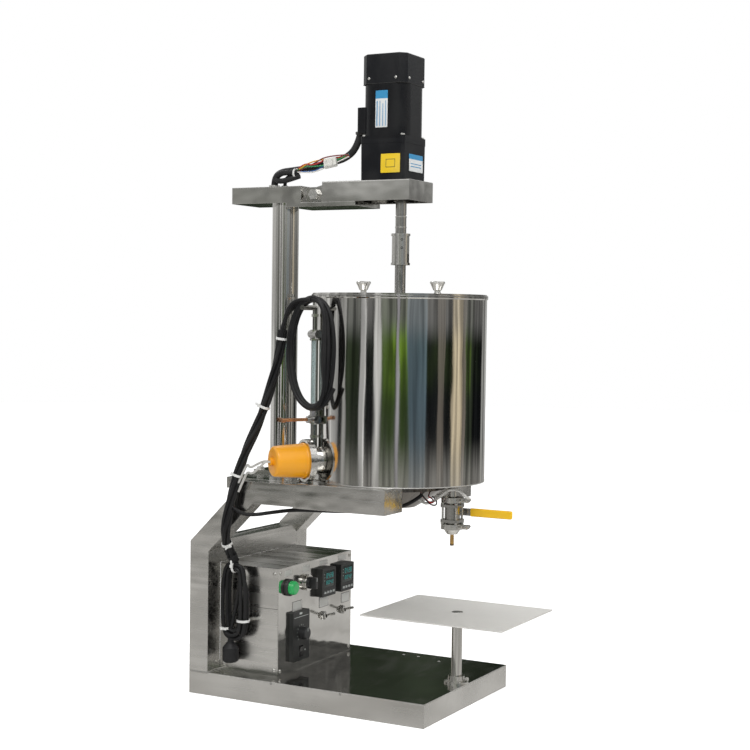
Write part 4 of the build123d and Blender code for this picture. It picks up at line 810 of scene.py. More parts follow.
def make_coloured_wires():
    """Six coloured wires beside the lead"""
    wires = [
        ("red", WIRE_RED, [(0, 0), (3, 9), (-4, 3), (-2, 12), (3, 4)]),
        ("dark_red", (0.2, 0.008, 0.01), [(-3, 2), (-5, 12), (1, 8), (4, 3), (0, 2)]),
        ("blue", (0.01, 0.12, 0.4), [(2, 2), (5, 2), (4, -6), (-3, -3), (1, 1)]),
        ("green", (0.01, 0.25, 0.07), [(-1, 3), (-3, -4), (-5, 2), (3, 6), (-2, 3)]),
        ("yellow", (0.8, 0.42, 0.01), [(1, -1), (6, 7), (2, 12), (-4, 7), (2, 2)]),
        ("white", (0.8, 0.79, 0.75), [(-2, -1), (1, -6), (-3, -8), (0, -4), (-3, 1)]),
    ]
    track = [(-0.034, -0.004, 0.990), (-0.040, 0.038, 0.978), (-0.043, 0.064, 0.970),
             (-0.041, 0.088, 0.967), (-0.036, 0.108, 0.963)]
    for name, colour, bends in wires:
        skin = wire_skin(name, colour)
        control = [(x + dx * 0.0007, y, z + dz * 0.0011) for (x, y, z), (dx, dz) in zip(track, bends)]
        shape = bmesh.new()
        sweep_tube(shape, nurbs_line(control, 8), sizes().wire / 2, 8)
        wire = keep_mesh("wire_" + name, shape, skin, None)
        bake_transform(wire)


def make_connector():
    """White connector on the coloured wires"""
    nylon = moulded("connector_nylon", (0.78, 0.77, 0.72), 0.42, dust=0.15)
    shape = bmesh.new()
    place = basis((-0.0405, 0.030, 0.976), (-0.8, -0.1, 0.35), (0, 1, -0.3))
    soft_block(shape, place, 0.016, 0.024, 0.009, 0.0012)
    for row in (-1, 1):
        for k in (-1, 0, 1):
            spot = place @ Matrix.Translation((k * 0.0048, row * 0.006, 0.009))
            lathe(shape, spot, [
                (0.0021, 0), (0.0021, 0.0009), (0.0012, 0.0009), (0.0012, 0.0002), (0, 0.0002)], 12)
    keep_mesh("wire_connector", shape, nylon, "motor_arm")


def make_folded_lead():
    """Folded spare lead, the lead into the beam, its grommet and tie"""
    loop = [(-0.036, 0.104, 0.963), (-0.040, 0.122, 0.964), (-0.041, 0.142, 0.962),
            (-0.040, 0.151, 0.956),
            (-0.040, 0.148, 0.949), (-0.041, 0.134, 0.9475), (-0.040, 0.114, 0.952),
            (-0.036, 0.100, 0.957)]
    wire_piece("folded_lead", loop, 0.0052, sleeve_finish(), sides=12)
    tail = [(-0.036, 0.112, 0.960), (-0.034, 0.126, 0.957), (-0.034, 0.133, 0.950),
            (-0.034, 0.1335, 0.9372)]
    wire_piece("beam_lead", tail, 0.0034, sleeve_finish(), sides=12)
    turned_piece("beam_grommet", (-0.034, 0.1335, 0.9374), [
        (0.0036, 0.0), (0.0066, 0.0), (0.0070, 0.0012), (0.0056, 0.0024), (0.0036, 0.0026),
        (0.0036, 0.0)], 28, grommet_rubber())
    spots = [((-0.0385, 0.108, 0.962), (0, 1, 0.02))]
    copies("lead_ties", tie_band(0.0072, 0.0036), spots, tie_nylon(), most_turn=ANY_TURN)


class FILLER_OT_motor_lead(bpy.types.Operator):
    """Sleeve of the motor lead, the coloured wires by the pivot and their connector"""

    bl_idname = "filler.motor_lead"
    bl_label = "Motor lead"

    def execute(self, context):
        make_lead()
        make_coloured_wires()
        make_connector()
        make_folded_lead()
        return {"FINISHED"}


# Small wires
def grey_wire():
    return wire_skin("grey", (0.55, 0.54, 0.51), 0.4, 0.1)


def red_wire():
    return wire_skin("red", WIRE_RED)


def make_heater_wires():
    """Two wires from the heater cap to the bundle"""
    tip = TANK_AXIS + OUTWARD * 0.2495 + Vector((0, 0, 0.440))
    bundle_at = Vector((-0.180, 0.121, 0.447))
    for k, sideways in enumerate((-1, 1)):
        start = tip + TANGENT * 0.004 * sideways
        control = [start - OUTWARD * 0.004, start + OUTWARD * 0.003,
                   start + OUTWARD * 0.0065 + Vector((0, 0.004, 0)),
                   start + Vector((-0.0060, 0.018, -0.004 - 0.006 * k)),
                   start + Vector((-0.0056, 0.036, -0.014 - 0.010 * k)),
                   bundle_at + Vector((-0.012, -0.014, -0.014 - 0.014 * k)),
                   bundle_at + Vector((-0.010, -0.004, -0.030 - 0.016 * k)),
                   bundle_at + Vector((-0.010, 0.006, -0.050 - 0.016 * k))]
        wire_piece(f"heater_wire_{k + 1}", control, 0.0021, grey_wire())


def make_arm_cable():
    """Black cable along the arm"""
    branch = [(-0.187, 0.142, 0.352), (-0.183, 0.128, 0.341), (-0.170, 0.108, 0.338),
              (-0.150, 0.080, 0.343),
              (-0.136, 0.045, 0.3485), (-0.128, 0.005, 0.3495), (-0.115, -0.050, 0.350),
              (-0.088, -0.105, 0.353), (-0.060, -0.150, 0.362), (-0.052, -0.172, 0.3825)]
    wire_piece("arm_cable", branch, 0.0034, cable_sheath(), sides=12)


def make_under_wires():
    """Short wires under the tank"""
    under = [
        ("under_wire_black", cable_sheath(), [
            (-0.052, -0.172, 0.3822), (-0.050, -0.184, 0.366), (-0.034, -0.192, 0.362),
            (-0.022, -0.186, 0.372), (-0.020, -0.176, 0.3765)]),
        ("under_wire_red", red_wire(), [
            (-0.046, -0.166, 0.382), (-0.044, -0.180, 0.369), (-0.030, -0.184, 0.366),
            (-0.016, -0.176, 0.372), (-0.014, -0.166, 0.3745)]),
    ]
    for name, skin, control in under:
        wire_piece(name, control, 0.0013, skin, sides=8)


def make_valve_wires():
    """Probe wire and the pale sleeve that arches over the valve"""
    probe = [(0.028, -0.150, 0.3755), (0.030, -0.164, 0.371), (0.030, -0.182, 0.3775),
             (0.026, -0.198, 0.389),
             (0.016, -0.209, 0.395), (0.008, -0.2125, 0.3965)]
    wire_piece("probe_wire", probe, 0.0018, grey_wire())
    arch = [(-0.030, -0.150, 0.3765), (-0.027, -0.160, 0.3640), (-0.024, -0.174, 0.3640),
            (-0.022, -0.1925, 0.3770), (-0.022, -0.2042, 0.3876), (-0.022, -0.218, 0.3925),
            (-0.022, -0.2298, 0.3908), (-0.021, -0.2378, 0.3845), (-0.016, -0.2415, 0.3790),
            (-0.006, -0.2420, 0.3760)]
    pale = moulded("sleeving_pale", (0.62, 0.61, 0.58), 0.45, dust=0.1)
    wire_piece("lead_over_valve", arch, 0.0025, pale)


class FILLER_OT_small_wires(bpy.types.Operator):
    """Wires of the heater, of the tank's underside and the branch along the arm"""

    bl_idname = "filler.small_wires"
    bl_label = "Small wires"

    def execute(self, context):
        make_heater_wires()
        make_arm_cable()
        make_under_wires()
        make_valve_wires()
        return {"FINISHED"}


# Frame, base sheet and column
def dress_frame():
    """Finishes of the tubes, sheets, column and beam"""
    along_y = steel("tube_along", (1, 0.03, 1), 110.0, 0.11, 0.25, 0.6, bump=0.05, edge=0.002, wave=0.012)
    across = steel("tube_across", (0.03, 1, 1), 110.0, 0.14, 0.28, 0.4, bump=0.05, edge=0.002, wave=0.006)
    sheet = steel("base_mirror", (0.4, 1, 1), 45.0, 0.05, 0.13, 0.8, bump=0.02, cloud=9.0, edge=0.0012,
                  wave=0.004)
    dress(along_y, "base_frame", "arm_sleeves", "side_frame_left", "side_frame_right")
    dress(across, "rear_cross_tube")
    dress(steel("deck_sheet", (1, 0.05, 1), 60.0, 0.10, 0.2, 0.3, edge=0.0006), "deck_plate")
    dress(sheet, "base_sheet")
    dress(steel("column_tube", (1, 1, 0.04), 60.0, 0.045, 0.10, 0.2, bump=0.015), "column")
    dress(steel("beam_sheet", (1, 0.05, 1), 60.0, 0.06, 0.16, 0.6, bump=0.02, edge=0.0018, wave=0.012),
          "rear_beam")
    dress(steel("tray_sheet", (1, 0.05, 1), 60.0, 0.06, 0.16, 0.6, bump=0.02, edge=0.0018, wave=0.012),
          "motor_tray")
    dress(bolt_steel(), "pivot_bolt")
    dress(steel("socket_steel", (1, 1, 0.1), 120.0, 0.18, 0.3, 0.4), "post_socket")


def weld_feet():
    """Beads round the feet of the rear arms"""
    shape = bmesh.new()
    seam_z = 0.0418
    seams = [(x, 0.2015, x, 0.2400) for x in (-0.1738, 0.1738, -0.134, 0.134)]
    seams += [(side * 0.174, 0.2013, side * 0.134, 0.2013) for side in (-1, 1)]
    for first_x, first_y, last_x, last_y in seams:
        a, b = Vector((first_x, first_y, seam_z)), Vector((last_x, last_y, seam_z))
        count = int((b - a).length / 0.0021)
        route = [a.lerp(b, i / count) for i in range(count + 1)]
        for i, point in enumerate(route[:-1]):
            sweep_tube(shape, [point, point.lerp(route[i + 1], 0.9)], 0.0014 + 0.0002 * (i % 2), 8)
    keep_mesh("foot_welds", shape, weld_bead())


def weld_base_sheet():
    """Spot welds of the base sheet"""
    blob = bmesh.new()
    lathe(blob, (0, 0, 0), [
        (0.0030, 0), (0.0028, 0.0002), (0.0020, 0.0005), (0.001, 0.0006), (0, 0.0006)], 14)
    spots = [((side * 0.17395, y, 0.0385), (side, 0, 0)) for side in (-1, 1) for y in (-0.078, 0.064)]
    spots += [((x, y, 0.04145), UP) for x, y in ((0.150, -0.036), (0.1496, -0.068), (0.133, -0.120))]
    copies("sheet_spot_welds", blob, spots, weld_bead(), most_turn=ANY_TURN)


def bolt_column():
    """Bolts and washers of the column's foot"""
    spots = [((x, y, 0.405), UP) for x in (-0.031, 0.031) for y in (0.121, 0.183)]
    copies("column_bolts", hex_head(0.0068, 0.0052), spots, bolt_steel(), most_turn=ANY_TURN)
    washers = bmesh.new()
    for place, _ in spots:
        lathe(washers, place, [
            (0.003, 0), (0.0085, 0), (0.0088, 0.0008), (0.0080, 0.0014), (0.003, 0.0014)], 24)
    keep_mesh("column_washers", washers, bolt_steel())


class FILLER_OT_frame_finish(bpy.types.Operator):
    """Finishes of the welded frame, sleeves, deck, column and beam"""

    bl_idname = "filler.frame_finish"
    bl_label = "Frame"

    def execute(self, context):
        dress_frame()
        weld_feet()
        weld_base_sheet()
        bolt_column()
        return {"FINISHED"}


# Tank, lids and shaft
def dress_tank():
    """Finishes of the jacket, hopper and lids"""
    mirror = tank_sheet()
    dress(mirror, "tank_jacket")
    dress(steel("hopper_inside", (1, 1, 0.2), 50.0, 0.10, 0.2, 0.4, bump=0.02), "hopper")
    lid = steel("lid_sheet", (1, 0.1, 1), 45.0, 0.07, 0.15, 0.35, bump=0.02)
    dress(lid, "lid_front", "lid_rear")


def make_rim_bead():
    """Rolled bead on the rim"""
    shape = bmesh.new()
    bead = sizes().rim_bead
    profile = []
    for i in range(13):
        angle = math.radians(-90 + 270 * i / 12)
        profile.append((0.1592 + bead * math.cos(angle) - 0.0006, 0.7347 + bead * math.sin(angle) * 0.9))
    lathe(shape, TANK_AXIS, profile, 128)
    keep_mesh("rim_bead", shape, steel("rim_steel", (1, 1, 0.3), 120.0, 0.1, 0.2, 0.4, tone=0.42))


def make_jacket_seams():
    """Upright seam and the seam round the foot"""
    seam = bmesh.new()
    angle = math.radians(28)
    place = TANK_AXIS + Vector((math.cos(angle), math.sin(angle), 0)) * 0.1586
    sweep_tube(seam, [place + Vector((0, 0, z)) for z in (0.404, 0.55, 0.730)], 0.0008, 8)
    lower = [(0.1586, 0.4026), (0.1592, 0.4018), (0.1589, 0.4008), (0.1576, 0.4008)]
    lathe(seam, TANK_AXIS, lower, 128)
    keep_mesh("jacket_seams", seam, weld_bead())


def make_lid_knobs():
    """Turned knob on each lid half"""
    for side, body in ((-1, "lid_front"), (1, "lid_rear")):
        knob = bmesh.new()
        place = Matrix.Translation((0, TANK_Y + side * 0.076, 0.7392))
        lathe(knob, place, [
            (0.0095, 0.0001), (0.0095, 0.0010), (0.0078, 0.0016), (0.0058, 0.0022), (0.0054, 0.0064),
            (0.0075, 0.0076), (0.0124, 0.0180), (0.0137, 0.0200), (0.0134, 0.0222), (0.0118, 0.0233),
            (0.0050, 0.0231), (0.0044, 0.0224), (0.0014, 0.0222), (0, 0.0222)], 32)
        keep_mesh(body + "_knob", knob, turned_steel(), body)


def make_shaft_pieces():
    """Finishes, rings and screws of the shaft and coupling"""
    dress(steel("stirrer_steel", (1, 1, 0.3), 160.0, 0.13, 0.24, 0.3, tone=0.66), "stirrer")
    dress(steel("shaft_steel", (1, 1, 0.05), 200.0, 0.12, 0.2, 0.2, tone=0.66), "output_shaft")
    dress(turned_steel(), "coupling_sleeve")
    rings = bmesh.new()
    for z in (0.8605, 0.8795):
        lathe(rings, TANK_AXIS + Vector((0, 0, z)), [
            (0.0096, -0.0014), (0.0107, -0.0010), (0.0107, 0.0010), (0.0096, 0.0014)], 32)
    keep_mesh("shaft_rings", rings, turned_steel(), "drive")
    screws = bmesh.new()
    lathe(screws, (0, 0, 0), [
        (0.0024, -0.0012), (0.0024, 0.0004), (0.0020, 0.0007), (0.0012, 0.0007), (0.0011, -0.0006),
        (0, -0.0006)], 12)
    spots = [((math.cos(a) * 0.016, TANK_Y + math.sin(a) * 0.016, z), (math.cos(a), math.sin(a), 0))
             for a, z in ((math.radians(215), 0.838), (math.radians(215), 0.823),
                          (math.radians(35), 0.838))]
    copies("coupling_screws", screws, spots, moulded("blackened_steel", (0.03, 0.03, 0.03), 0.35),
           "drive")


class FILLER_OT_tank(bpy.types.Operator):
    """Tank: mirror wall, rolled rim, hopper inside, lids and their knobs"""

    bl_idname = "filler.tank"
    bl_label = "Tank"

    def execute(self, context):
        dress_tank()
        make_rim_bead()
        make_jacket_seams()
        make_lid_knobs()
        make_shaft_pieces()
        return {"FINISHED"}


# Motor, gearbox and fan cover
def label_plate(name, place, width, height, corner, material):
    """Bare sticker with rounded corners, lying on the motor or gearbox."""
    thick = 0.0003
    shape = bmesh.new()
    soft_block(shape, place, width, height, thick, thick * 0.45, corner, 4)
    keep_mesh(name, shape, material, "motor_arm")


def fan_cover_plastic():
    return moulded("fan_cover_plastic", shade(colours().motor, 1.4), 0.34, dust=0.03, pebble=1100.0,
                   bump=0.2,
                   Specular_IOR_Level=0.14)


def dress_motor():
    """Paint of the motor, gearbox and fan cover"""
    paint = moulded("motor_paint", colours().motor, 0.26, dust=0.02, pebble=600.0, bump=0.12,
                    Specular_IOR_Level=0.16)
    cast = moulded("gearbox_paint", shade(colours().motor, 1.3), 0.36, dust=0.03, pebble=420.0, bump=0.3,
                   Specular_IOR_Level=0.14)
    dress(paint, "motor_body")
    dress(cast, "gearbox")
    dress(fan_cover_plastic(), "fan_cover")


def make_fan_grille():
    """Ribs of the grille on top"""
    slots = bmesh.new()
    for k in range(7):
        reach = 0.010 + 0.0042 * k
        for quarter in range(4):
            arc = [Vector((math.cos(a) * reach, MOTOR_Y + math.sin(a) * reach, 1.1686)) for a in
                   (math.radians(quarter * 90 + 8 + 74 * i / 10) for i in range(11))]
            sweep_tube(slots, arc, 0.0011, 6)
    keep_mesh("fan_grille", slots, fan_cover_plastic(), "motor_arm")


def make_fan_cover_shadow():
    """Painted shadow: a near-black line along the seam round the fan cover's foot"""
    seam = bmesh.new()
    outline = []
    for x, y in ((-33, -45), (33, -45), (45, -33), (45, 33), (33, 45), (-33, 45), (-45, 33), (-45, -33)):
        outline.append(Vector((x * 0.001003, MOTOR_Y + y * 0.001003, 1.1165)))
    outline.append(outline[0])
    dense = []
    for a, b in zip(outline, outline[1:]):
        dense += [a.lerp(b, i / 6) for i in range(6)]
    sweep_tube(seam, dense + [outline[0]], 0.0006, 6, caps=False)
    # painted shadow in the gap where the fan cover meets the motor body
    keep_mesh("cover_seam", seam, moulded("seam_shadow", (0.004, 0.004, 0.004), 0.6), "motor_arm")


def make_motor_screws():
    """Screws of the cover and gearbox"""
    spots = []
    for y in (-0.034, 0.034):
        spots.append(((-0.0450, MOTOR_Y + y * 0.8, 1.1255), LEFT))
        spots.append(((0.0450, MOTOR_Y + y * 0.8, 1.1255), RIGHT))
        spots.append(((y * 0.8, MOTOR_Y - 0.0450, 1.1255), FRONT))
        spots.append(((y * 0.8, MOTOR_Y + 0.0450, 1.1255), BACK))
    copies("cover_screws", pan_head(0.0027), spots, bolt_steel(), "motor_arm", most_turn=3.0)
    corners = [(x * 0.0385, MOTOR_Y + y * 0.0385) for x in (-1, 1) for y in (-1, 1)]
    copies("gearbox_screws", hex_head(0.0046, 0.0030), [((x, y, 1.0229), UP) for x, y in corners],
           bolt_steel(), "motor_arm", most_turn=1.0)


def make_gland():
    """Gland where the lead leaves the terminal side"""
    turned_piece("terminal_gland", basis((-0.023, -0.0215, 1.0306), (0, 0, -1)), [
        (0.0098, -0.0030), (0.0098, 0.0006), (0.0086, 0.0018), (0.0068, 0.0022), (0.0066, 0.0002)], 24,
        grommet_rubber(), "motor_arm")


def make_stickers():
    """Bare stickers on the motor and gearbox"""
    white_blue = printed("motor_plate_print", (0.74, 0.76, 0.76), (0.03, 0.27, 0.52), [
        [("Z", 1.089, 1.1035)], [("Y", -0.0675, -0.0655), ("Z", 1.040, 1.085)],
        [("Y", -0.0730, -0.0716), ("Z", 1.040, 1.085)], [("Y", -0.0790, -0.0776), ("Z", 1.040, 1.080)],
        [("Y", -0.0846, -0.0833), ("Z", 1.040, 1.085)]])
    label_plate("motor_plate", basis((-0.04502, -0.0755, 1.0705), LEFT), 0.0245, 0.066, 0.0012, white_blue)
    yellow = printed("gearbox_square_print", (0.88, 0.60, 0.008), (0.03, 0.03, 0.02), [
        [("Y", -0.1045, -0.0855), ("Z", 0.9655, 0.9665)],
        [("Y", -0.1045, -0.0855), ("Z", 0.9795, 0.9805)],
        [("Y", -0.1045, -0.1035), ("Z", 0.9655, 0.9805)],
        [("Y", -0.0865, -0.0855), ("Z", 0.9655, 0.9805)]])
    label_plate("gearbox_square", basis((-0.0450, -0.0948, 0.973), (-1, 0, 0.013)), 0.039, 0.034, 0.0015,
                yellow)
    front = printed("gearbox_plate_print", (0.74, 0.76, 0.76), (0.02, 0.25, 0.5), [
        [("X", -0.025, 0.0325), ("Z", 0.982, 0.993)], [("X", -0.018, 0.024), ("Z", 0.968, 0.9695)],
        [("X", -0.018, 0.024), ("Z", 0.973, 0.9745)]])
    label_plate("gearbox_plate", basis((0.0035, -0.12145, 0.9755), (0, -1, 0.013)), 0.054, 0.031, 0.0012,
                front)


class FILLER_OT_motor(bpy.types.Operator):
    """Motor, gearbox and fan cover: paint, screws, vents and bare plates"""

    bl_idname = "filler.motor"
    bl_label = "Motor"

    def execute(self, context):
        dress_motor()
        make_fan_grille()
        make_fan_cover_shadow()
        make_motor_screws()
        make_gland()
        make_stickers()
        return {"FINISHED"}


# Heater and level gauge
def heater_cap_skin():
    return moulded("heater_cap_skin", colours().heater, 0.3, dust=0.02, pebble=500.0, bump=0.05,
                   Coat_Weight=0.25)


def dress_heater():
    """Finishes of the heater and gauge"""
    dress(heater_cap_skin(), "heater_cap")
    dress(turned_steel(), "heater_socket")
    dress(moulded("gasket_rubber", (0.02, 0.02, 0.02), 0.6, dust=0.1), "heater_gasket")
    dress(fitting_steel(), "heater_element", "gauge_fittings")
    dress(clear_glass(), "gauge_glass")
    dress(steel("clamp_steel", (1, 1, 1), 150.0, 0.10, 0.22, 0.4, bump=0.04), "pipe_clamps")
    copper = metal("key_copper", (0.62, 0.30, 0.14), (0.34, 0.17, 0.09), (1, 1, 1), 200.0, 0.18, 0.35, 0.6,
                   0.05, 90.0)
    dress(copper, "gauge_drain_key")


def make_cap_pieces():
    """Nub and collar of the heater cap"""
    start = TANK_AXIS + OUTWARD * 0.1835 + Vector((0, 0, 0.440))
    place = basis(start + OUTWARD * 0.0665, OUTWARD)
    turned_piece("cap_nub", place, [
        (0.0085, -0.0012), (0.0085, 0.0), (0.0070, 0.0006), (0.0062, -0.0002), (0, -0.0004)],
        24, heater_cap_skin())
    place = basis(start, OUTWARD)
    turned_piece("cap_collar", place, [
        (0.0312, 0.0002), (0.0319, 0.0010), (0.0319, 0.0048), (0.0312, 0.0058), (0.0306, 0.0060)], 64,
        heater_cap_skin())


def make_clamp_bolt():
    """Wing bolt of the heater's clamp"""
    start = TANK_AXIS + OUTWARD * 0.1835 + Vector((0, 0, 0.440))
    wing = bmesh.new()
    hinge = basis(start - OUTWARD * 0.0025 - Vector((0, 0, 0.0372)) - TANGENT * 0.012, TANGENT)
    lathe(wing, hinge, [(0, -0.018), (0.0026, -0.018), (0.0028, -0.017), (0.0028, 0.020), (0, 0.021)], 14)
    lathe(wing, hinge @ Matrix.Translation((0, 0, -0.016)), [
        (0.0028, 0), (0.0058, 0), (0.0062, 0.001), (0.0056, 0.006), (0.0030, 0.007)], 6)
    for side in (-1, 1):
        ear = basis(hinge.translation - TANGENT * 0.014 + Vector((0, 0, side * 0.008)), TANGENT)
        soft_block(wing, ear, 0.004, 0.011, 0.004, 0.0014)
    keep_mesh("heater_clamp_bolt", wing, fitting_steel())


def make_gauge_pieces():
    """Nuts, float and guards of the gauge"""
    point = TANK_AXIS + OUTWARD * 0.1665
    collars = bmesh.new()
    for z, reach, high in ((0.5305, 0.0092, 0.0042), (0.6535, 0.0092, 0.0042), (0.668, 0.0082, 0.005),
                           (0.5050, 0.0078, 0.004), (0.4800, 0.0074, 0.006), (0.6955, 0.0066, 0.006)):
        lathe(collars, point + Vector((0, 0, z)), [
            (reach - 0.0022, 0), (reach, 0.0005), (reach, high - 0.0005), (reach - 0.0022, high)], 8)
    keep_mesh("gauge_nuts", collars, turned_steel(), smooth=False)
    float_ball = bmesh.new()
    angles = [math.radians(degrees) for degrees in range(-90, 91, 18)]
    profile = [(0.0036 * math.cos(a), 0.0036 * math.sin(a)) for a in angles]
    profile[0], profile[-1] = (0, -0.0036), (0, 0.0036)
    lathe(float_ball, point + Vector((0, 0, 0.538)), profile, 20)
    keep_mesh("gauge_float", float_ball, moulded("float_red", (0.6, 0.03, 0.02), 0.3))
    guards = bmesh.new()
    for side in (-1, 1):
        for z in (0.5135, 0.6650):
            spot = point + TANGENT * 0.011 * side + Vector((0, 0, z))
            lathe(guards, spot, [
                (0.0020, -0.0085), (0.0040, -0.0083), (0.0042, -0.0070), (0.0040, -0.0058),
                (0.0020, -0.0056)], 6)
    keep_mesh("guard_nuts", guards, turned_steel(), smooth=False)


class FILLER_OT_heater(bpy.types.Operator):
    """Heater cap, clamp and socket, and the level gauge"""

    bl_idname = "filler.heater"
    bl_label = "Heater and gauge"

    def execute(self, context):
        dress_heater()
        make_cap_pieces()
        make_clamp_bolt()
        make_gauge_pieces()
        return {"FINISHED"}


# Valve and nozzle
def grip_vinyl():
    return moulded("grip_vinyl", colours().grip, 0.36, dust=0.03, pebble=800.0, bump=0.1)


def nozzle_brass():
    return metal("nozzle_brass", (0.72, 0.45, 0.16), (0.45, 0.27, 0.1), (1, 1, 0.05), 400.0, 0.16, 0.3, 0.5,
                 0.05, 120.0)


def dress_valve():
    """Finishes of the valve, lever and nozzle"""
    dress(fitting_steel(), "valve_end_caps", "valve_body")
    dress(turned_steel(), "valve_ball", "reducer_cap")
    dress(bolt_steel(), "valve_tie_rods")
    dress(steel("lever_steel", (1, 0.1, 1), 180.0, 0.14, 0.26, 0.4), "valve_lever")
    dress(grip_vinyl(), "lever_grip")
    dress(nozzle_brass(), "nozzle")


def make_nozzle_rings():
    """Barbs and tip ring of the nozzle"""
    axis = Matrix.Translation((0, NOZZLE_Y, 0))
    barbs = bmesh.new()
    for z in (0.2915, 0.2955, 0.2995):
        lathe(barbs, axis @ Matrix.Translation((0, 0, z)), [
            (0.0034, -0.0010), (0.0038, -0.0002), (0.0038, 0.0004), (0.0034, 0.0016)], 24)
    keep_mesh("nozzle_rings", barbs, nozzle_brass())
    turned_piece("nozzle_tip_ring", axis, [
        (0.0033, 0.2882), (0.0037, 0.2886), (0.0037, 0.2904),
        (0.0033, 0.2908)], 24, moulded("tip_rubber", (0.02, 0.02, 0.02), 0.5, dust=0.05))


def make_valve_clamp_bolts():
    """Wing bolts of the pipe clamps"""
    bolts = bmesh.new()
    for z in (0.323, 0.371):
        place = basis((0.010, -0.2345, z), LEFT)
        lathe(bolts, place, [(0, -0.004), (0.0018, -0.004), (0.0018, 0.021), (0, 0.0214)], 12)
        lathe(bolts, place, [(0.0018, -0.003), (0.0036, -0.003), (0.0036, 0.0), (0.0018, 0.0005)], 6)
        for side in (-1, 1):
            ear = basis((-0.0135, -0.2345 + side * 0.0048, z), LEFT, BACK)
            soft_block(bolts, ear, 0.0026, 0.0070, 0.0035, 0.0011)
    keep_mesh("clamp_wing_bolts", bolts, turned_steel())


def make_lever_ends():
    """Nut on the lever and the tip of its grip"""
    place = basis((0.0315, NOZZLE_Y, 0.347), RIGHT)
    turned_piece("lever_nut", place, [
        (0.0068, -0.0034), (0.0072, -0.0028), (0.0072, 0.0), (0.0064, 0.0008), (0.0042, 0.0008),
        (0.0040, 0.0024), (0.0034, 0.0030), (0, 0.0030)], 6, turned_steel(), "valve", smooth=False)
    end = bmesh.new()
    soft_block(end, basis((0.0265, -0.2955, 0.347), FRONT), 0.0064, 0.0148, 0.0168, 0.0026, 0.0026, 4)
    keep_mesh("grip_tip", end, grip_vinyl(), "valve")


class FILLER_OT_valve(bpy.types.Operator):
    """Outlet valve, its bolts, lever and grip, reducer and nozzle"""

    bl_idname = "filler.valve"
    bl_label = "Valve"

    def execute(self, context):
        dress_valve()
        make_nozzle_rings()
        make_valve_clamp_bolts()
        make_lever_ends()
        return {"FINISHED"}


# Control box and panel
def device_black():
    return moulded("device_black", (0.014, 0.016, 0.016), 0.36, dust=0.08, pebble=1300.0, bump=0.2)


def knob_black():
    return moulded("knob_black", (0.02, 0.021, 0.022), 0.3, dust=0.06, pebble=900.0, bump=0.1)


def plated_chrome():
    return steel("plated_chrome", (1, 1, 1), 90.0, 0.04, 0.09, 0.15, bump=0.0, tone=1.08)


def toggle_bronze():
    return steel("toggle_bronze", (1, 1, 1), 200.0, 0.16, 0.3, 0.4, bump=0.04, tone=0.62)


def pale_mark():
    return moulded("pale_mark", (0.62, 0.66, 0.64), 0.4, dust=0.1)


def plate_rim():
    return moulded("plate_rim", (0.03, 0.03, 0.03), 0.4, dust=0.1)


def box_sheet_steel():
    return steel("box_sheet", (1, 0.04, 1), 70.0, 0.15, 0.30, 0.6, edge=0.0014, wave=0.012)


def dress_panel():
    """Finishes of the box, the panel and its devices"""
    dress(box_sheet_steel(), "control_box")
    dress(steel(
        "panel_mirror", (0.05, 1, 1), 70.0, 0.05, 0.12, 0.5, bump=0.015, cloud=11.0, edge=0.001,
        wave=0.008), "control_panel")
    dress(device_black(), "speed_controller", "control_gear", "lamp_bezel", "temperature_controllers")
    dress(knob_black(), "selector_knob", "speed_knob")
    dress(moulded("rocker_black", (0.012, 0.012, 0.012), 0.22, dust=0.05), "power_rocker")
    lens = moulded("lamp_green", colours().lamp, 0.12, dust=0.03, pebble=300.0, bump=0.02)
    shader = lens.node_tree.nodes["Principled BSDF"]
    shader.inputs["Coat Weight"].default_value = 0.6
    shader.inputs["Emission Color"].default_value = (*colours().lamp, 1)
    shader.inputs["Emission Strength"].default_value = 0.05
    dress(lens, "lamp_lens")
    dress(plated_chrome(), "switch_bodies")
    keys = moulded("key_grey", (0.36, 0.38, 0.37), 0.45, dust=0.05)
    dress(keys, "controller_keys_left", "controller_keys_right")
    dress(toggle_bronze(), "toggle_lever_left", "toggle_lever_right")


def make_box_back():
    """Sheet on the back of the box"""
    back = bmesh.new()
    soft_block(back, basis((0, 0.2011, 0.1408), BACK, RIGHT), 0.1984, 0.2676, 0.0008, 0.0002)
    keep_mesh("box_back_sheet", back, box_sheet_steel())


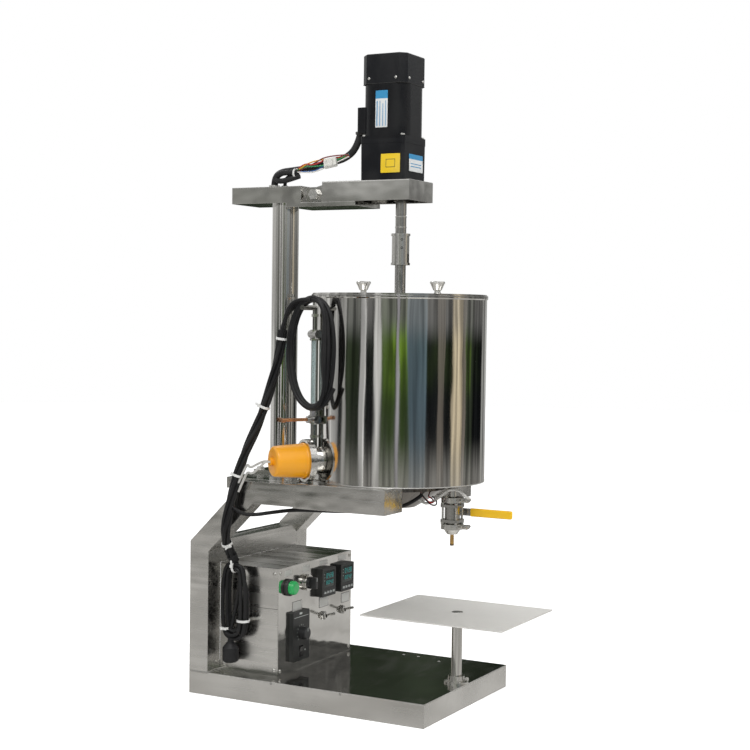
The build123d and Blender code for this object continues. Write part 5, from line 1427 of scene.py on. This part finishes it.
def make_displays():
    """Windows, digits and marks of both temperature controllers"""
    face_y = 0.062
    film = moulded("controller_film", (0.008, 0.022, 0.018), 0.25, dust=0.05, pebble=500.0, bump=0.02)
    teal = moulded("display_teal", (0.02, 0.20, 0.18), 0.35, dust=0.0)
    teal_shader = teal.node_tree.nodes["Principled BSDF"]
    teal_shader.inputs["Emission Color"].default_value = (0.02, 0.20, 0.19, 1)
    teal_shader.inputs["Emission Strength"].default_value = 0.6
    dark = moulded("display_window", (0.004, 0.008, 0.008), 0.08, dust=0.02, pebble=300.0, bump=0.0)
    films, windows, digits, marks = bmesh.new(), bmesh.new(), bmesh.new(), bmesh.new()
    for x in CONTROLLER_X:
        soft_block(films, basis((x, face_y + 0.0009, 0.1985), FRONT), 0.0394, 0.0314, 0.0006, 0.0002, 0.0014)
        for z, high in ((0.2055, 0.0105), (0.1925, 0.0085)):
            window = basis((x + 0.002, face_y + 0.0003, z), FRONT)
            soft_block(windows, window, 0.031, high + 0.0025, 0.0004, 0.0001, 0.0008)
            for k in range(4):
                centre = Vector((x - 0.0085 + k * 0.0070, 0, z))
                half, wide = high / 2 - 0.0006, 0.0019
                bars = [((-wide, half), (wide, half)), ((-wide, 0), (wide, 0)),
                        ((-wide, -half), (wide, -half)),
                        ((-wide, 0), (-wide, half)), ((wide, 0), (wide, half)),
                        ((-wide, -half), (-wide, 0)), ((wide, -half), (wide, 0))]
                digits_lit = ((0, 1, 2, 3, 4, 5, 6), (0, 2, 3, 4, 5, 6), (1, 4, 6, 3), (0, 1, 2, 4, 5))
                for index in digits_lit[(k + int(z > 0.2)) % 4]:
                    (x1, z1), (x2, z2) = bars[index]
                    a = centre + Vector((x1 * 0.92, face_y - 0.0002, z1 * 0.92))
                    b = centre + Vector((x2 * 0.92, face_y - 0.0002, z2 * 0.92))
                    sweep_tube(digits, [a, a.lerp(b, 0.5), b], 0.00042, 6)
        for k in range(4):
            key_mark = basis((x + (k - 1.5) * 0.0105, face_y - 0.0012, 0.174), FRONT)
            soft_block(marks, key_mark, 0.0026, 0.0011, 0.0002, 0.00005, 0.0003)
        for k in range(3):
            dot = basis((x - 0.0165, face_y + 0.0003, 0.2085 - k * 0.006), FRONT)
            soft_block(marks, dot, 0.0016, 0.0016, 0.0003, 0.0001, 0.0007)
    keep_mesh("controller_films", films, film)
    keep_mesh("display_windows", windows, dark)
    keep_mesh("display_digits", digits, teal)
    keep_mesh("controller_marks", marks, pale_mark())


def make_speed_scale():
    """Scale of the speed controller"""
    line = bmesh.new()
    y = 0.067
    place = basis((-0.066, y + 0.0001, 0.1415), FRONT)
    soft_block(line, place, 0.050, 0.0008, 0.0003, 0.0001, 0.0003)
    for k in range(11):
        angle = math.radians(225 - 27 * k)
        spot = Vector((-0.066 + math.cos(angle) * 0.0150, y + 0.0001, 0.111 + math.sin(angle) * 0.0150))
        tick = basis(spot, FRONT, (math.cos(angle), 0, math.sin(angle)))
        soft_block(line, tick, 0.0006, 0.0024, 0.00025, 0.0001, 0.0002)
    soft_block(line, basis((-0.068, y + 0.0001, 0.1475), FRONT), 0.009, 0.0035, 0.0003, 0.0001, 0.0005)
    soft_block(line, basis((-0.052, y + 0.0001, 0.0775), FRONT), 0.0028, 0.0028, 0.0003, 0.0001, 0.0013)
    keep_mesh("speed_scale", line, pale_mark())


def make_speed_knob():
    """Pointer and ridges of the speed knob"""
    pointer = bmesh.new()
    soft_block(pointer, basis((-0.066, 0.0526, 0.1178), FRONT), 0.0010, 0.0060, 0.0003, 0.0001, 0.0003)
    keep_mesh("speed_pointer", pointer, pale_mark(), "speed")
    ridges = bmesh.new()
    soft_block(ridges, Matrix.Identity(4), 0.0012, 0.0080, 0.0007, 0.0003, 0.0004, 2)
    spots = []
    for k in range(30):
        angle = math.tau * k / 30
        spots.append(((-0.066 + math.cos(angle) * 0.0109, 0.0605, 0.111 + math.sin(angle) * 0.0109),
                      (math.cos(angle), 0, math.sin(angle))))
    copies("speed_knob_ridges", ridges, spots, knob_black(), "speed")


def make_selector_and_lamp():
    """Pointer and ring of the selector, collar of the lamp"""
    streak = bmesh.new()
    soft_block(streak, basis((-0.038, 0.0512, 0.2068), FRONT), 0.0014, 0.0075, 0.0003, 0.0001, 0.0004)
    keep_mesh("selector_pointer", streak, pale_mark(), "selector")
    turned_piece("selector_ring", basis((-0.038, PANEL_Y, 0.200), FRONT), [
        (0.0146, 0), (0.0152, 0.0010), (0.0150, 0.0074), (0.0140, 0.0083), (0.0126, 0.0084),
        (0.0120, 0.0078)], 48, plated_chrome())
    turned_piece("lamp_collar", basis((-0.101, PANEL_Y, 0.200), FRONT), [
        (0.0151, 0), (0.0158, 0.0008), (0.0157, 0.0058), (0.0146, 0.0073), (0.0134, 0.0074),
        (0.0131, 0.0066)], 48, device_black())


def make_toggle_nuts():
    """Nuts and threads of the toggles"""
    nuts = [((x, 0.0748, 0.127), FRONT) for x in TOGGLE_X]
    nut = bmesh.new()
    lathe(nut, (0, 0, 0), [
        (0.0057, 0), (0.0086, 0), (0.0090, 0.0008), (0.0090, 0.0026), (0.0082, 0.0036), (0.0057, 0.0037)], 6)
    copies("toggle_nuts", nut, nuts, toggle_bronze(), most_turn=1.0, smooth=False)
    threads = bmesh.new()
    for x in TOGGLE_X:
        for k in range(4):
            lathe(threads, basis((x, 0.0705 - k * 0.0010, 0.127), FRONT), [
                (0.0054, -0.0004), (0.0059, 0), (0.0054, 0.0004)], 24)
    keep_mesh("toggle_threads", threads, toggle_bronze())


def make_plates():
    """Bare plates on the panel"""
    paper = moulded("bare_plate", (0.60, 0.60, 0.57), 0.3, dust=0.2, pebble=250.0, bump=0.02)
    plates, rims = bmesh.new(), bmesh.new()
    for x, z, wide, high in (
            (-0.069, 0.160, 0.034, 0.020), (0.028, 0.1535, 0.034, 0.020), (0.111, 0.149, 0.031, 0.019)):
        soft_block(rims, basis((x, PANEL_Y, z), FRONT), wide, high, 0.0003, 0.0001, 0.001)
        soft_block(plates, basis((x, 0.0749, z), FRONT), wide - 0.0016, high - 0.0016, 0.0004, 0.0001,
                   0.0008)
    for x in (-0.101, -0.038):
        soft_block(plates, basis((x, PANEL_Y, 0.2265), FRONT), 0.026, 0.011, 0.0003, 0.0001, 0.0008)
    for x in CONTROLLER_X:
        soft_block(plates, basis((x, PANEL_Y, 0.2285), FRONT), 0.030, 0.010, 0.0003, 0.0001, 0.0008)
    keep_mesh("plate_rims", rims, plate_rim())
    keep_mesh("bare_plates", plates, paper)


def make_box_screws():
    """Screws and side seams of the box"""
    screws = [((x, PANEL_Y, z), FRONT) for x in (-0.127, 0.127) for z in (0.050, 0.229)]
    screws += [((-0.134, y, z), LEFT) for y in (0.084, 0.192) for z in (0.052, 0.228)]
    screws += [((0.134, y, z), RIGHT) for y in (0.084, 0.192) for z in (0.052, 0.228)]
    copies("box_screws", pan_head(sizes().screw_head), screws, bolt_steel(), most_turn=3.0)
    fold = bmesh.new()
    for x in (-0.1341, 0.1341):
        sweep_tube(fold, [(x, 0.0765, 0.164), (x, 0.110, 0.164), (x, 0.200, 0.164)], 0.0004, 6)
    keep_mesh("box_seams", fold, plate_rim())


class FILLER_OT_panel(bpy.types.Operator):
    """Control box and panel: lamp, switches, controllers, speed controller and bare plates"""

    bl_idname = "filler.panel"
    bl_label = "Control panel"

    def execute(self, context):
        dress_panel()
        make_box_back()
        make_displays()
        make_speed_scale()
        make_speed_knob()
        make_selector_and_lamp()
        make_toggle_nuts()
        make_plates()
        make_box_screws()
        return {"FINISHED"}


# Platform
class FILLER_OT_platform(bpy.types.Operator):
    """Bottle platform, its post and clamping screw"""

    bl_idname = "filler.platform"
    bl_label = "Platform"

    def execute(self, context):
        plate = steel("platform_sheet", (0.3, 1, 1), 160.0, 0.50, 0.60, 0.2, tone=1.3, cloud=8.0, edge=0.0006)
        dress(plate, "platform_plate")
        plate.node_tree.nodes["Principled BSDF"].inputs["Metallic"].default_value = 0.5
        dress(steel("post_steel", (1, 1, 0.05), 90.0, 0.07, 0.16, 0.3), "platform_post")
        turned_piece("platform_weld", (0, POST_Y, 0.16902), [
            (0.0105, 0), (0.0102, 0.0004), (0.0088, 0.0006), (0, 0.0006)], 32, weld_bead(), "platform")
        bolt = bolt_steel()
        flange = [((math.cos(a) * 0.0180, POST_Y + math.sin(a) * 0.0180, 0.0445), UP)
                  for a in (math.radians(45 + 90 * k) for k in range(4))]
        copies("socket_screws", pan_head(0.0026), flange, bolt, most_turn=3.0)
        place = basis((0, -0.2375, 0.0495), FRONT)
        turned_piece("post_clamp_screw", place, [
            (0, -0.003), (0.0019, -0.003), (0.0019, 0.001), (0.0036, 0.0012), (0.0038, 0.0052),
            (0.0030, 0.0060), (0, 0.0060)], 8, bolt)
        return {"FINISHED"}


# Stage: floor, light, reflected room and camera
CAMERA_PLACE = Vector((-2.46694, -1.38116, 0.70087))
YAW, PITCH, ROLL = math.radians(28.44), math.radians(2.26), math.radians(0.77)
LENS = 73.15


# What the polished sheet reflects: tones, and upright strips of them as
# (degrees to the right of the camera's line, tone)
TONES = {
    "ink": (0.008, 0.009, 0.010), "moss": (0.03, 0.05, 0.015), "leaf": (0.20, 0.36, 0.03),
    "taupe": (0.17, 0.15, 0.13), "slate": (0.09, 0.13, 0.16), "cream": (0.82, 0.70, 0.50),
    "grey": (0.34, 0.34, 0.33), "pale": (0.66, 0.66, 0.65), "white": (1.0, 1.0, 1.0),
    "forest": (0.028, 0.036, 0.024), "lilac": (0.72, 0.70, 0.78),
}
STRIPS = [
    (-180, "forest"), (-165, "pale"), (-86, "ink"), (-80, "grey"), (-74, "forest"), (-53, "white"),
    (-46, "ink"),
    (-35, "pale"), (-25, "moss"), (-5, "lilac"), (-1, "moss"), (11, "slate"), (35, "ink"), (49, "taupe"),
    (59, "ink"), (69, "cream"), (86, "taupe"), (94, "forest"), (110, "ink"), (136, "grey"), (165, "forest"),
]


def reflected_wall():
    """Round wall that only shiny surfaces see: upright strips, greyer towards its top and foot."""
    shape = bmesh.new()
    rows = []
    for i in range(96):
        angle = math.tau * i / 96
        x, y = math.cos(angle) * 2.9, math.sin(angle) * 2.9 + TANK_Y
        rows.append((shape.verts.new((x, y, -0.001)), shape.verts.new((x, y, 2.6))))
    for i, (a, b) in enumerate(rows):
        c, d = rows[(i + 1) % 96]
        shape.faces.new((a, b, d, c))
    mesh = bpy.data.meshes.new("reflected_wall")
    shape.to_mesh(mesh)
    shape.free()
    material = bpy.data.materials.new("reflected_wall")
    material.use_nodes = True
    tree = material.node_tree
    tree.nodes.remove(tree.nodes["Principled BSDF"])
    glow = tree.nodes.new("ShaderNodeEmission")
    tree.links.new(glow.outputs["Emission"], tree.nodes["Material Output"].inputs["Surface"])

    def ramp(value, stops, kind):
        node = tree.nodes.new("ShaderNodeValToRGB")
        node.color_ramp.interpolation = kind
        while len(node.color_ramp.elements) < len(stops):
            node.color_ramp.elements.new(0.5)
        for element, (position, colour) in zip(node.color_ramp.elements, stops):
            element.position = position
        for element, (position, colour) in zip(node.color_ramp.elements, stops):
            element.color = (*colour, 1)
        tree.links.new(value, node.inputs["Fac"])
        return node.outputs["Color"]

    parts = object_parts(tree)
    around = maths(tree, "ARCTAN2", maths(tree, "ADD", parts["Y"], -TANK_Y), parts["X"])
    wobble = place_noise(tree, 1.6, (1, 1, 1.4), 3.0)
    shift = maths(tree, "MULTIPLY", maths(tree, "SUBTRACT", wobble, 0.5), 0.035)
    view = (YAW + math.pi) / math.tau
    turned = maths(tree, "ADD", maths(tree, "DIVIDE", around, math.tau), 1.5 - view)
    share = maths(tree, "FRACT", maths(tree, "ADD", turned, shift))
    strips = ramp(share, [(angle / 360 + 0.5, TONES[tone]) for angle, tone in STRIPS], "CONSTANT")
    lanes = add_node(tree, "ShaderNodeCombineXYZ", X=maths(tree, "MULTIPLY", share, 60.0), Y=parts["Z"])
    streak = place_noise(tree, 1.0, (1, 0.8, 1), 3.0, lanes.outputs["Vector"])
    green = place_noise(tree, 1.0, (0.35, 5.0, 1), 2.0, lanes.outputs["Vector"])
    height = maths(tree, "DIVIDE", parts["Z"], 1.5)
    none, full = (0, 0, 0), (1, 1, 1)
    leaf_band = ramp(height, [(0.0, none), (0.26, none), (0.33, full), (0.40, full), (0.47, none)], "EASE")
    leaf_side = ramp(share, [(0.0, (0.02,) * 3), (0.4306, (0.9,) * 3), (0.486, (0.05,) * 3), (0.497, full),
                             (0.5306, (0.05,) * 3), (0.76, (0.35,) * 3), (0.79, (0.02,) * 3)], "CONSTANT")
    leafy = maths(tree, "MULTIPLY", maths(tree, "MULTIPLY", leaf_band, leaf_side),
                  spread(tree, green, 0.2, 1.0))
    strips = blend_colours(tree, leafy, strips, TONES["leaf"])
    level = ramp(height, [(0.0, (0.34, 0.33, 0.31)), (0.10, (0.40, 0.39, 0.37)), (0.20, (0.24, 0.24, 0.22)),
                          (0.42, (0.34, 0.34, 0.34)), (0.55, (0.42, 0.41, 0.39)), (0.8, (0.62, 0.62, 0.60)),
                          (1.0, (0.85, 0.85, 0.84))], "LINEAR")
    amount = ramp(height, [(0.0, (0.35,) * 3), (0.08, (0.45,) * 3), (0.17, full), (0.40, full),
                           (0.45, (0.62,) * 3), (0.62, (0.62,) * 3), (0.8, (0.4,) * 3), (1.0, (0.15,) * 3)],
                           "LINEAR")
    behind = ramp(share, [(0.0, full), (0.035, full), (0.042, none), (0.958, none), (0.965, full)], "LINEAR")
    amount = maths(tree, "MAXIMUM", amount, behind)
    shown = blend_colours(tree, amount, level, strips)
    tree.links.new(shown, glow.inputs["Color"])
    tree.links.new(spread(tree, streak, 0.5, 1.5), glow.inputs["Strength"])
    mesh.materials.append(material)
    return hidden_card("reflected_wall", mesh)


def reflected_ground():
    """Warm ground that only shiny surfaces see."""
    shape = bmesh.new()
    lathe(shape, TANK_AXIS, [(0.0, 0.0006), (0.9, 0.0006), (2.9, 0.0006)], 64)
    mesh = bpy.data.meshes.new("reflected_ground")
    shape.to_mesh(mesh)
    shape.free()
    material = bpy.data.materials.new("reflected_ground")
    material.use_nodes = True
    tree = material.node_tree
    tree.nodes.remove(tree.nodes["Principled BSDF"])
    glow = tree.nodes.new("ShaderNodeEmission")
    patches = place_noise(tree, 2.0, (1, 1, 1), 3.0)
    colour = blend_colours(tree, spread(tree, patches, 0.0, 1.0), (0.40, 0.39, 0.37), (0.64, 0.63, 0.61))
    tree.links.new(colour, glow.inputs["Color"])
    tree.links.new(glow.outputs["Emission"], tree.nodes["Material Output"].inputs["Surface"])
    mesh.materials.append(material)
    return hidden_card("reflected_ground", mesh)


def hidden_card(name, mesh):
    """Stage object that neither the camera nor plain surfaces see, and that casts no shadow."""
    card = bpy.data.objects.new(name, mesh)
    bpy.context.scene.collection.objects.link(card)
    for ray in ("camera", "diffuse", "shadow", "transmission", "volume_scatter"):
        setattr(card, "visible_" + ray, False)
    return card


def make_camera():
    """The photograph's camera"""
    scene = bpy.context.scene
    forward = Vector((math.cos(PITCH) * math.cos(YAW), math.cos(PITCH) * math.sin(YAW), -math.sin(PITCH)))
    flat_right = Vector((math.sin(YAW), -math.cos(YAW), 0))
    flat_up = flat_right.cross(forward)
    right = flat_right * math.cos(ROLL) + flat_up * math.sin(ROLL)
    up = flat_up * math.cos(ROLL) - flat_right * math.sin(ROLL)
    data = bpy.data.cameras.new("photo_camera")
    data.lens = LENS
    data.sensor_width = 36.0
    data.clip_end = 50.0
    camera = bpy.data.objects.new("photo_camera", data)
    scene.collection.objects.link(camera)
    place = Matrix((right, up, -forward)).transposed().to_4x4()
    place.translation = CAMERA_PLACE
    camera.matrix_world = place
    scene.camera = camera
    scene.view_settings.view_transform = "Standard"


def make_world():
    """White surroundings, dimmer for plain surfaces"""
    scene = bpy.context.scene
    world = bpy.data.worlds.new("studio")
    world.use_nodes = True
    scene.world = world
    tree = world.node_tree
    background = tree.nodes["Background"]
    path = tree.nodes.new("ShaderNodeLightPath").outputs
    seen = maths(tree, "MAXIMUM", path["Is Camera Ray"], path["Is Glossy Ray"])
    through = maths(tree, "MAXIMUM", seen, path["Is Transmission Ray"])
    level = add_node(tree, "ShaderNodeMapRange", Value=through, To_Min=0.45, To_Max=1.0)
    feed(tree, background.inputs["Color"], (1, 1, 1))
    feed(tree, background.inputs["Strength"], level.outputs["Result"])


def make_floor():
    """Pale floor that the camera sees as white"""
    scene = bpy.context.scene
    ground = bmesh.new()
    lathe(ground, (0, 0, 0), [(0, -0.0004), (1.5, -0.0004), (4.0, -0.0004), (9.0, -0.0004)], 48)
    mesh = bpy.data.meshes.new("floor")
    ground.to_mesh(mesh)
    ground.free()
    floor_skin = bpy.data.materials.new("floor")
    floor_skin.use_nodes = True
    tree = floor_skin.node_tree
    shader = tree.nodes["Principled BSDF"].inputs
    camera_ray = tree.nodes.new("ShaderNodeLightPath").outputs["Is Camera Ray"]
    feed(tree, shader["Base Color"], (0.9, 0.9, 0.89))
    feed(tree, shader["Roughness"], 0.9)
    feed(tree, shader["Emission Color"], (1, 1, 1))
    feed(tree, shader["Emission Strength"], maths(tree, "MULTIPLY", camera_ray, 0.66))
    mesh.materials.append(floor_skin)
    floor = bpy.data.objects.new("floor", mesh)
    scene.collection.objects.link(floor)


def make_lamps():
    """Three soft lamps"""
    scene = bpy.context.scene
    for name, spot, aim, width, power in (
            ("key_lamp", (-2.6, -1.0, 3.0), (0, -0.05, 0.6), 2.2, 62.0),
            ("front_lamp", (0.6, -3.4, 2.2), (0, -0.1, 0.5), 1.8, 34.0),
            ("back_lamp", (1.8, 2.4, 2.6), (0, 0, 0.7), 1.6, 22.0)):
        lamp_data = bpy.data.lights.new(name, "AREA")
        lamp_data.size = width
        lamp_data.energy = power
        lamp = bpy.data.objects.new(name, lamp_data)
        scene.collection.objects.link(lamp)
        turn = (Vector(aim) - Vector(spot)).to_track_quat("-Z", "Y").to_matrix().to_4x4()
        turn.translation = Vector(spot)
        lamp.matrix_world = turn


class FILLER_OT_stage(bpy.types.Operator):
    """Camera, pale floor, soft lamps and the strips that the polished sheet reflects"""

    bl_idname = "filler.stage"
    bl_label = "Stage"

    def execute(self, context):
        make_camera()
        make_world()
        make_floor()
        make_lamps()
        reflected_wall()
        reflected_ground()
        return {"FINISHED"}


class FILLER_PT_panel(bpy.types.Panel):
    """Lists the machine's pieces in the sidebar"""

    bl_label = "Filling machine"
    bl_idname = "FILLER_PT_panel"
    bl_space_type = "VIEW_3D"
    bl_region_type = "UI"
    bl_category = "Filling machine"

    def draw(self, context):
        layout = self.layout
        for group in (context.scene.filler_sizes, context.scene.filler_colours):
            for name in group.bl_rna.properties.keys():
                if name not in ("rna_type", "name"):
                    layout.prop(group, name)
        for operator in PIECES:
            layout.operator(operator.bl_idname)


PIECES = (
    FILLER_OT_stage,
    FILLER_OT_cables,
    FILLER_OT_motor_lead,
    FILLER_OT_small_wires,
    FILLER_OT_frame_finish,
    FILLER_OT_tank,
    FILLER_OT_motor,
    FILLER_OT_heater,
    FILLER_OT_valve,
    FILLER_OT_panel,
    FILLER_OT_platform,
)
CLASSES = (FillerSizes, FillerColours) + PIECES + (FILLER_PT_panel,)


def register():
    for item in CLASSES:
        bpy.utils.register_class(item)
    bpy.types.Scene.filler_sizes = bpy.props.PointerProperty(type=FillerSizes)
    bpy.types.Scene.filler_colours = bpy.props.PointerProperty(type=FillerColours)


def unregister():
    del bpy.types.Scene.filler_colours
    del bpy.types.Scene.filler_sizes
    for item in reversed(CLASSES):
        bpy.utils.unregister_class(item)


def main():
    register()
    bpy.ops.filler.stage()
    bpy.ops.filler.cables()
    bpy.ops.filler.motor_lead()
    bpy.ops.filler.small_wires()
    bpy.ops.filler.frame_finish()
    bpy.ops.filler.tank()
    bpy.ops.filler.motor()
    bpy.ops.filler.heater()
    bpy.ops.filler.valve()
    bpy.ops.filler.panel()
    bpy.ops.filler.platform()


if __name__ == "__main__":
    main()
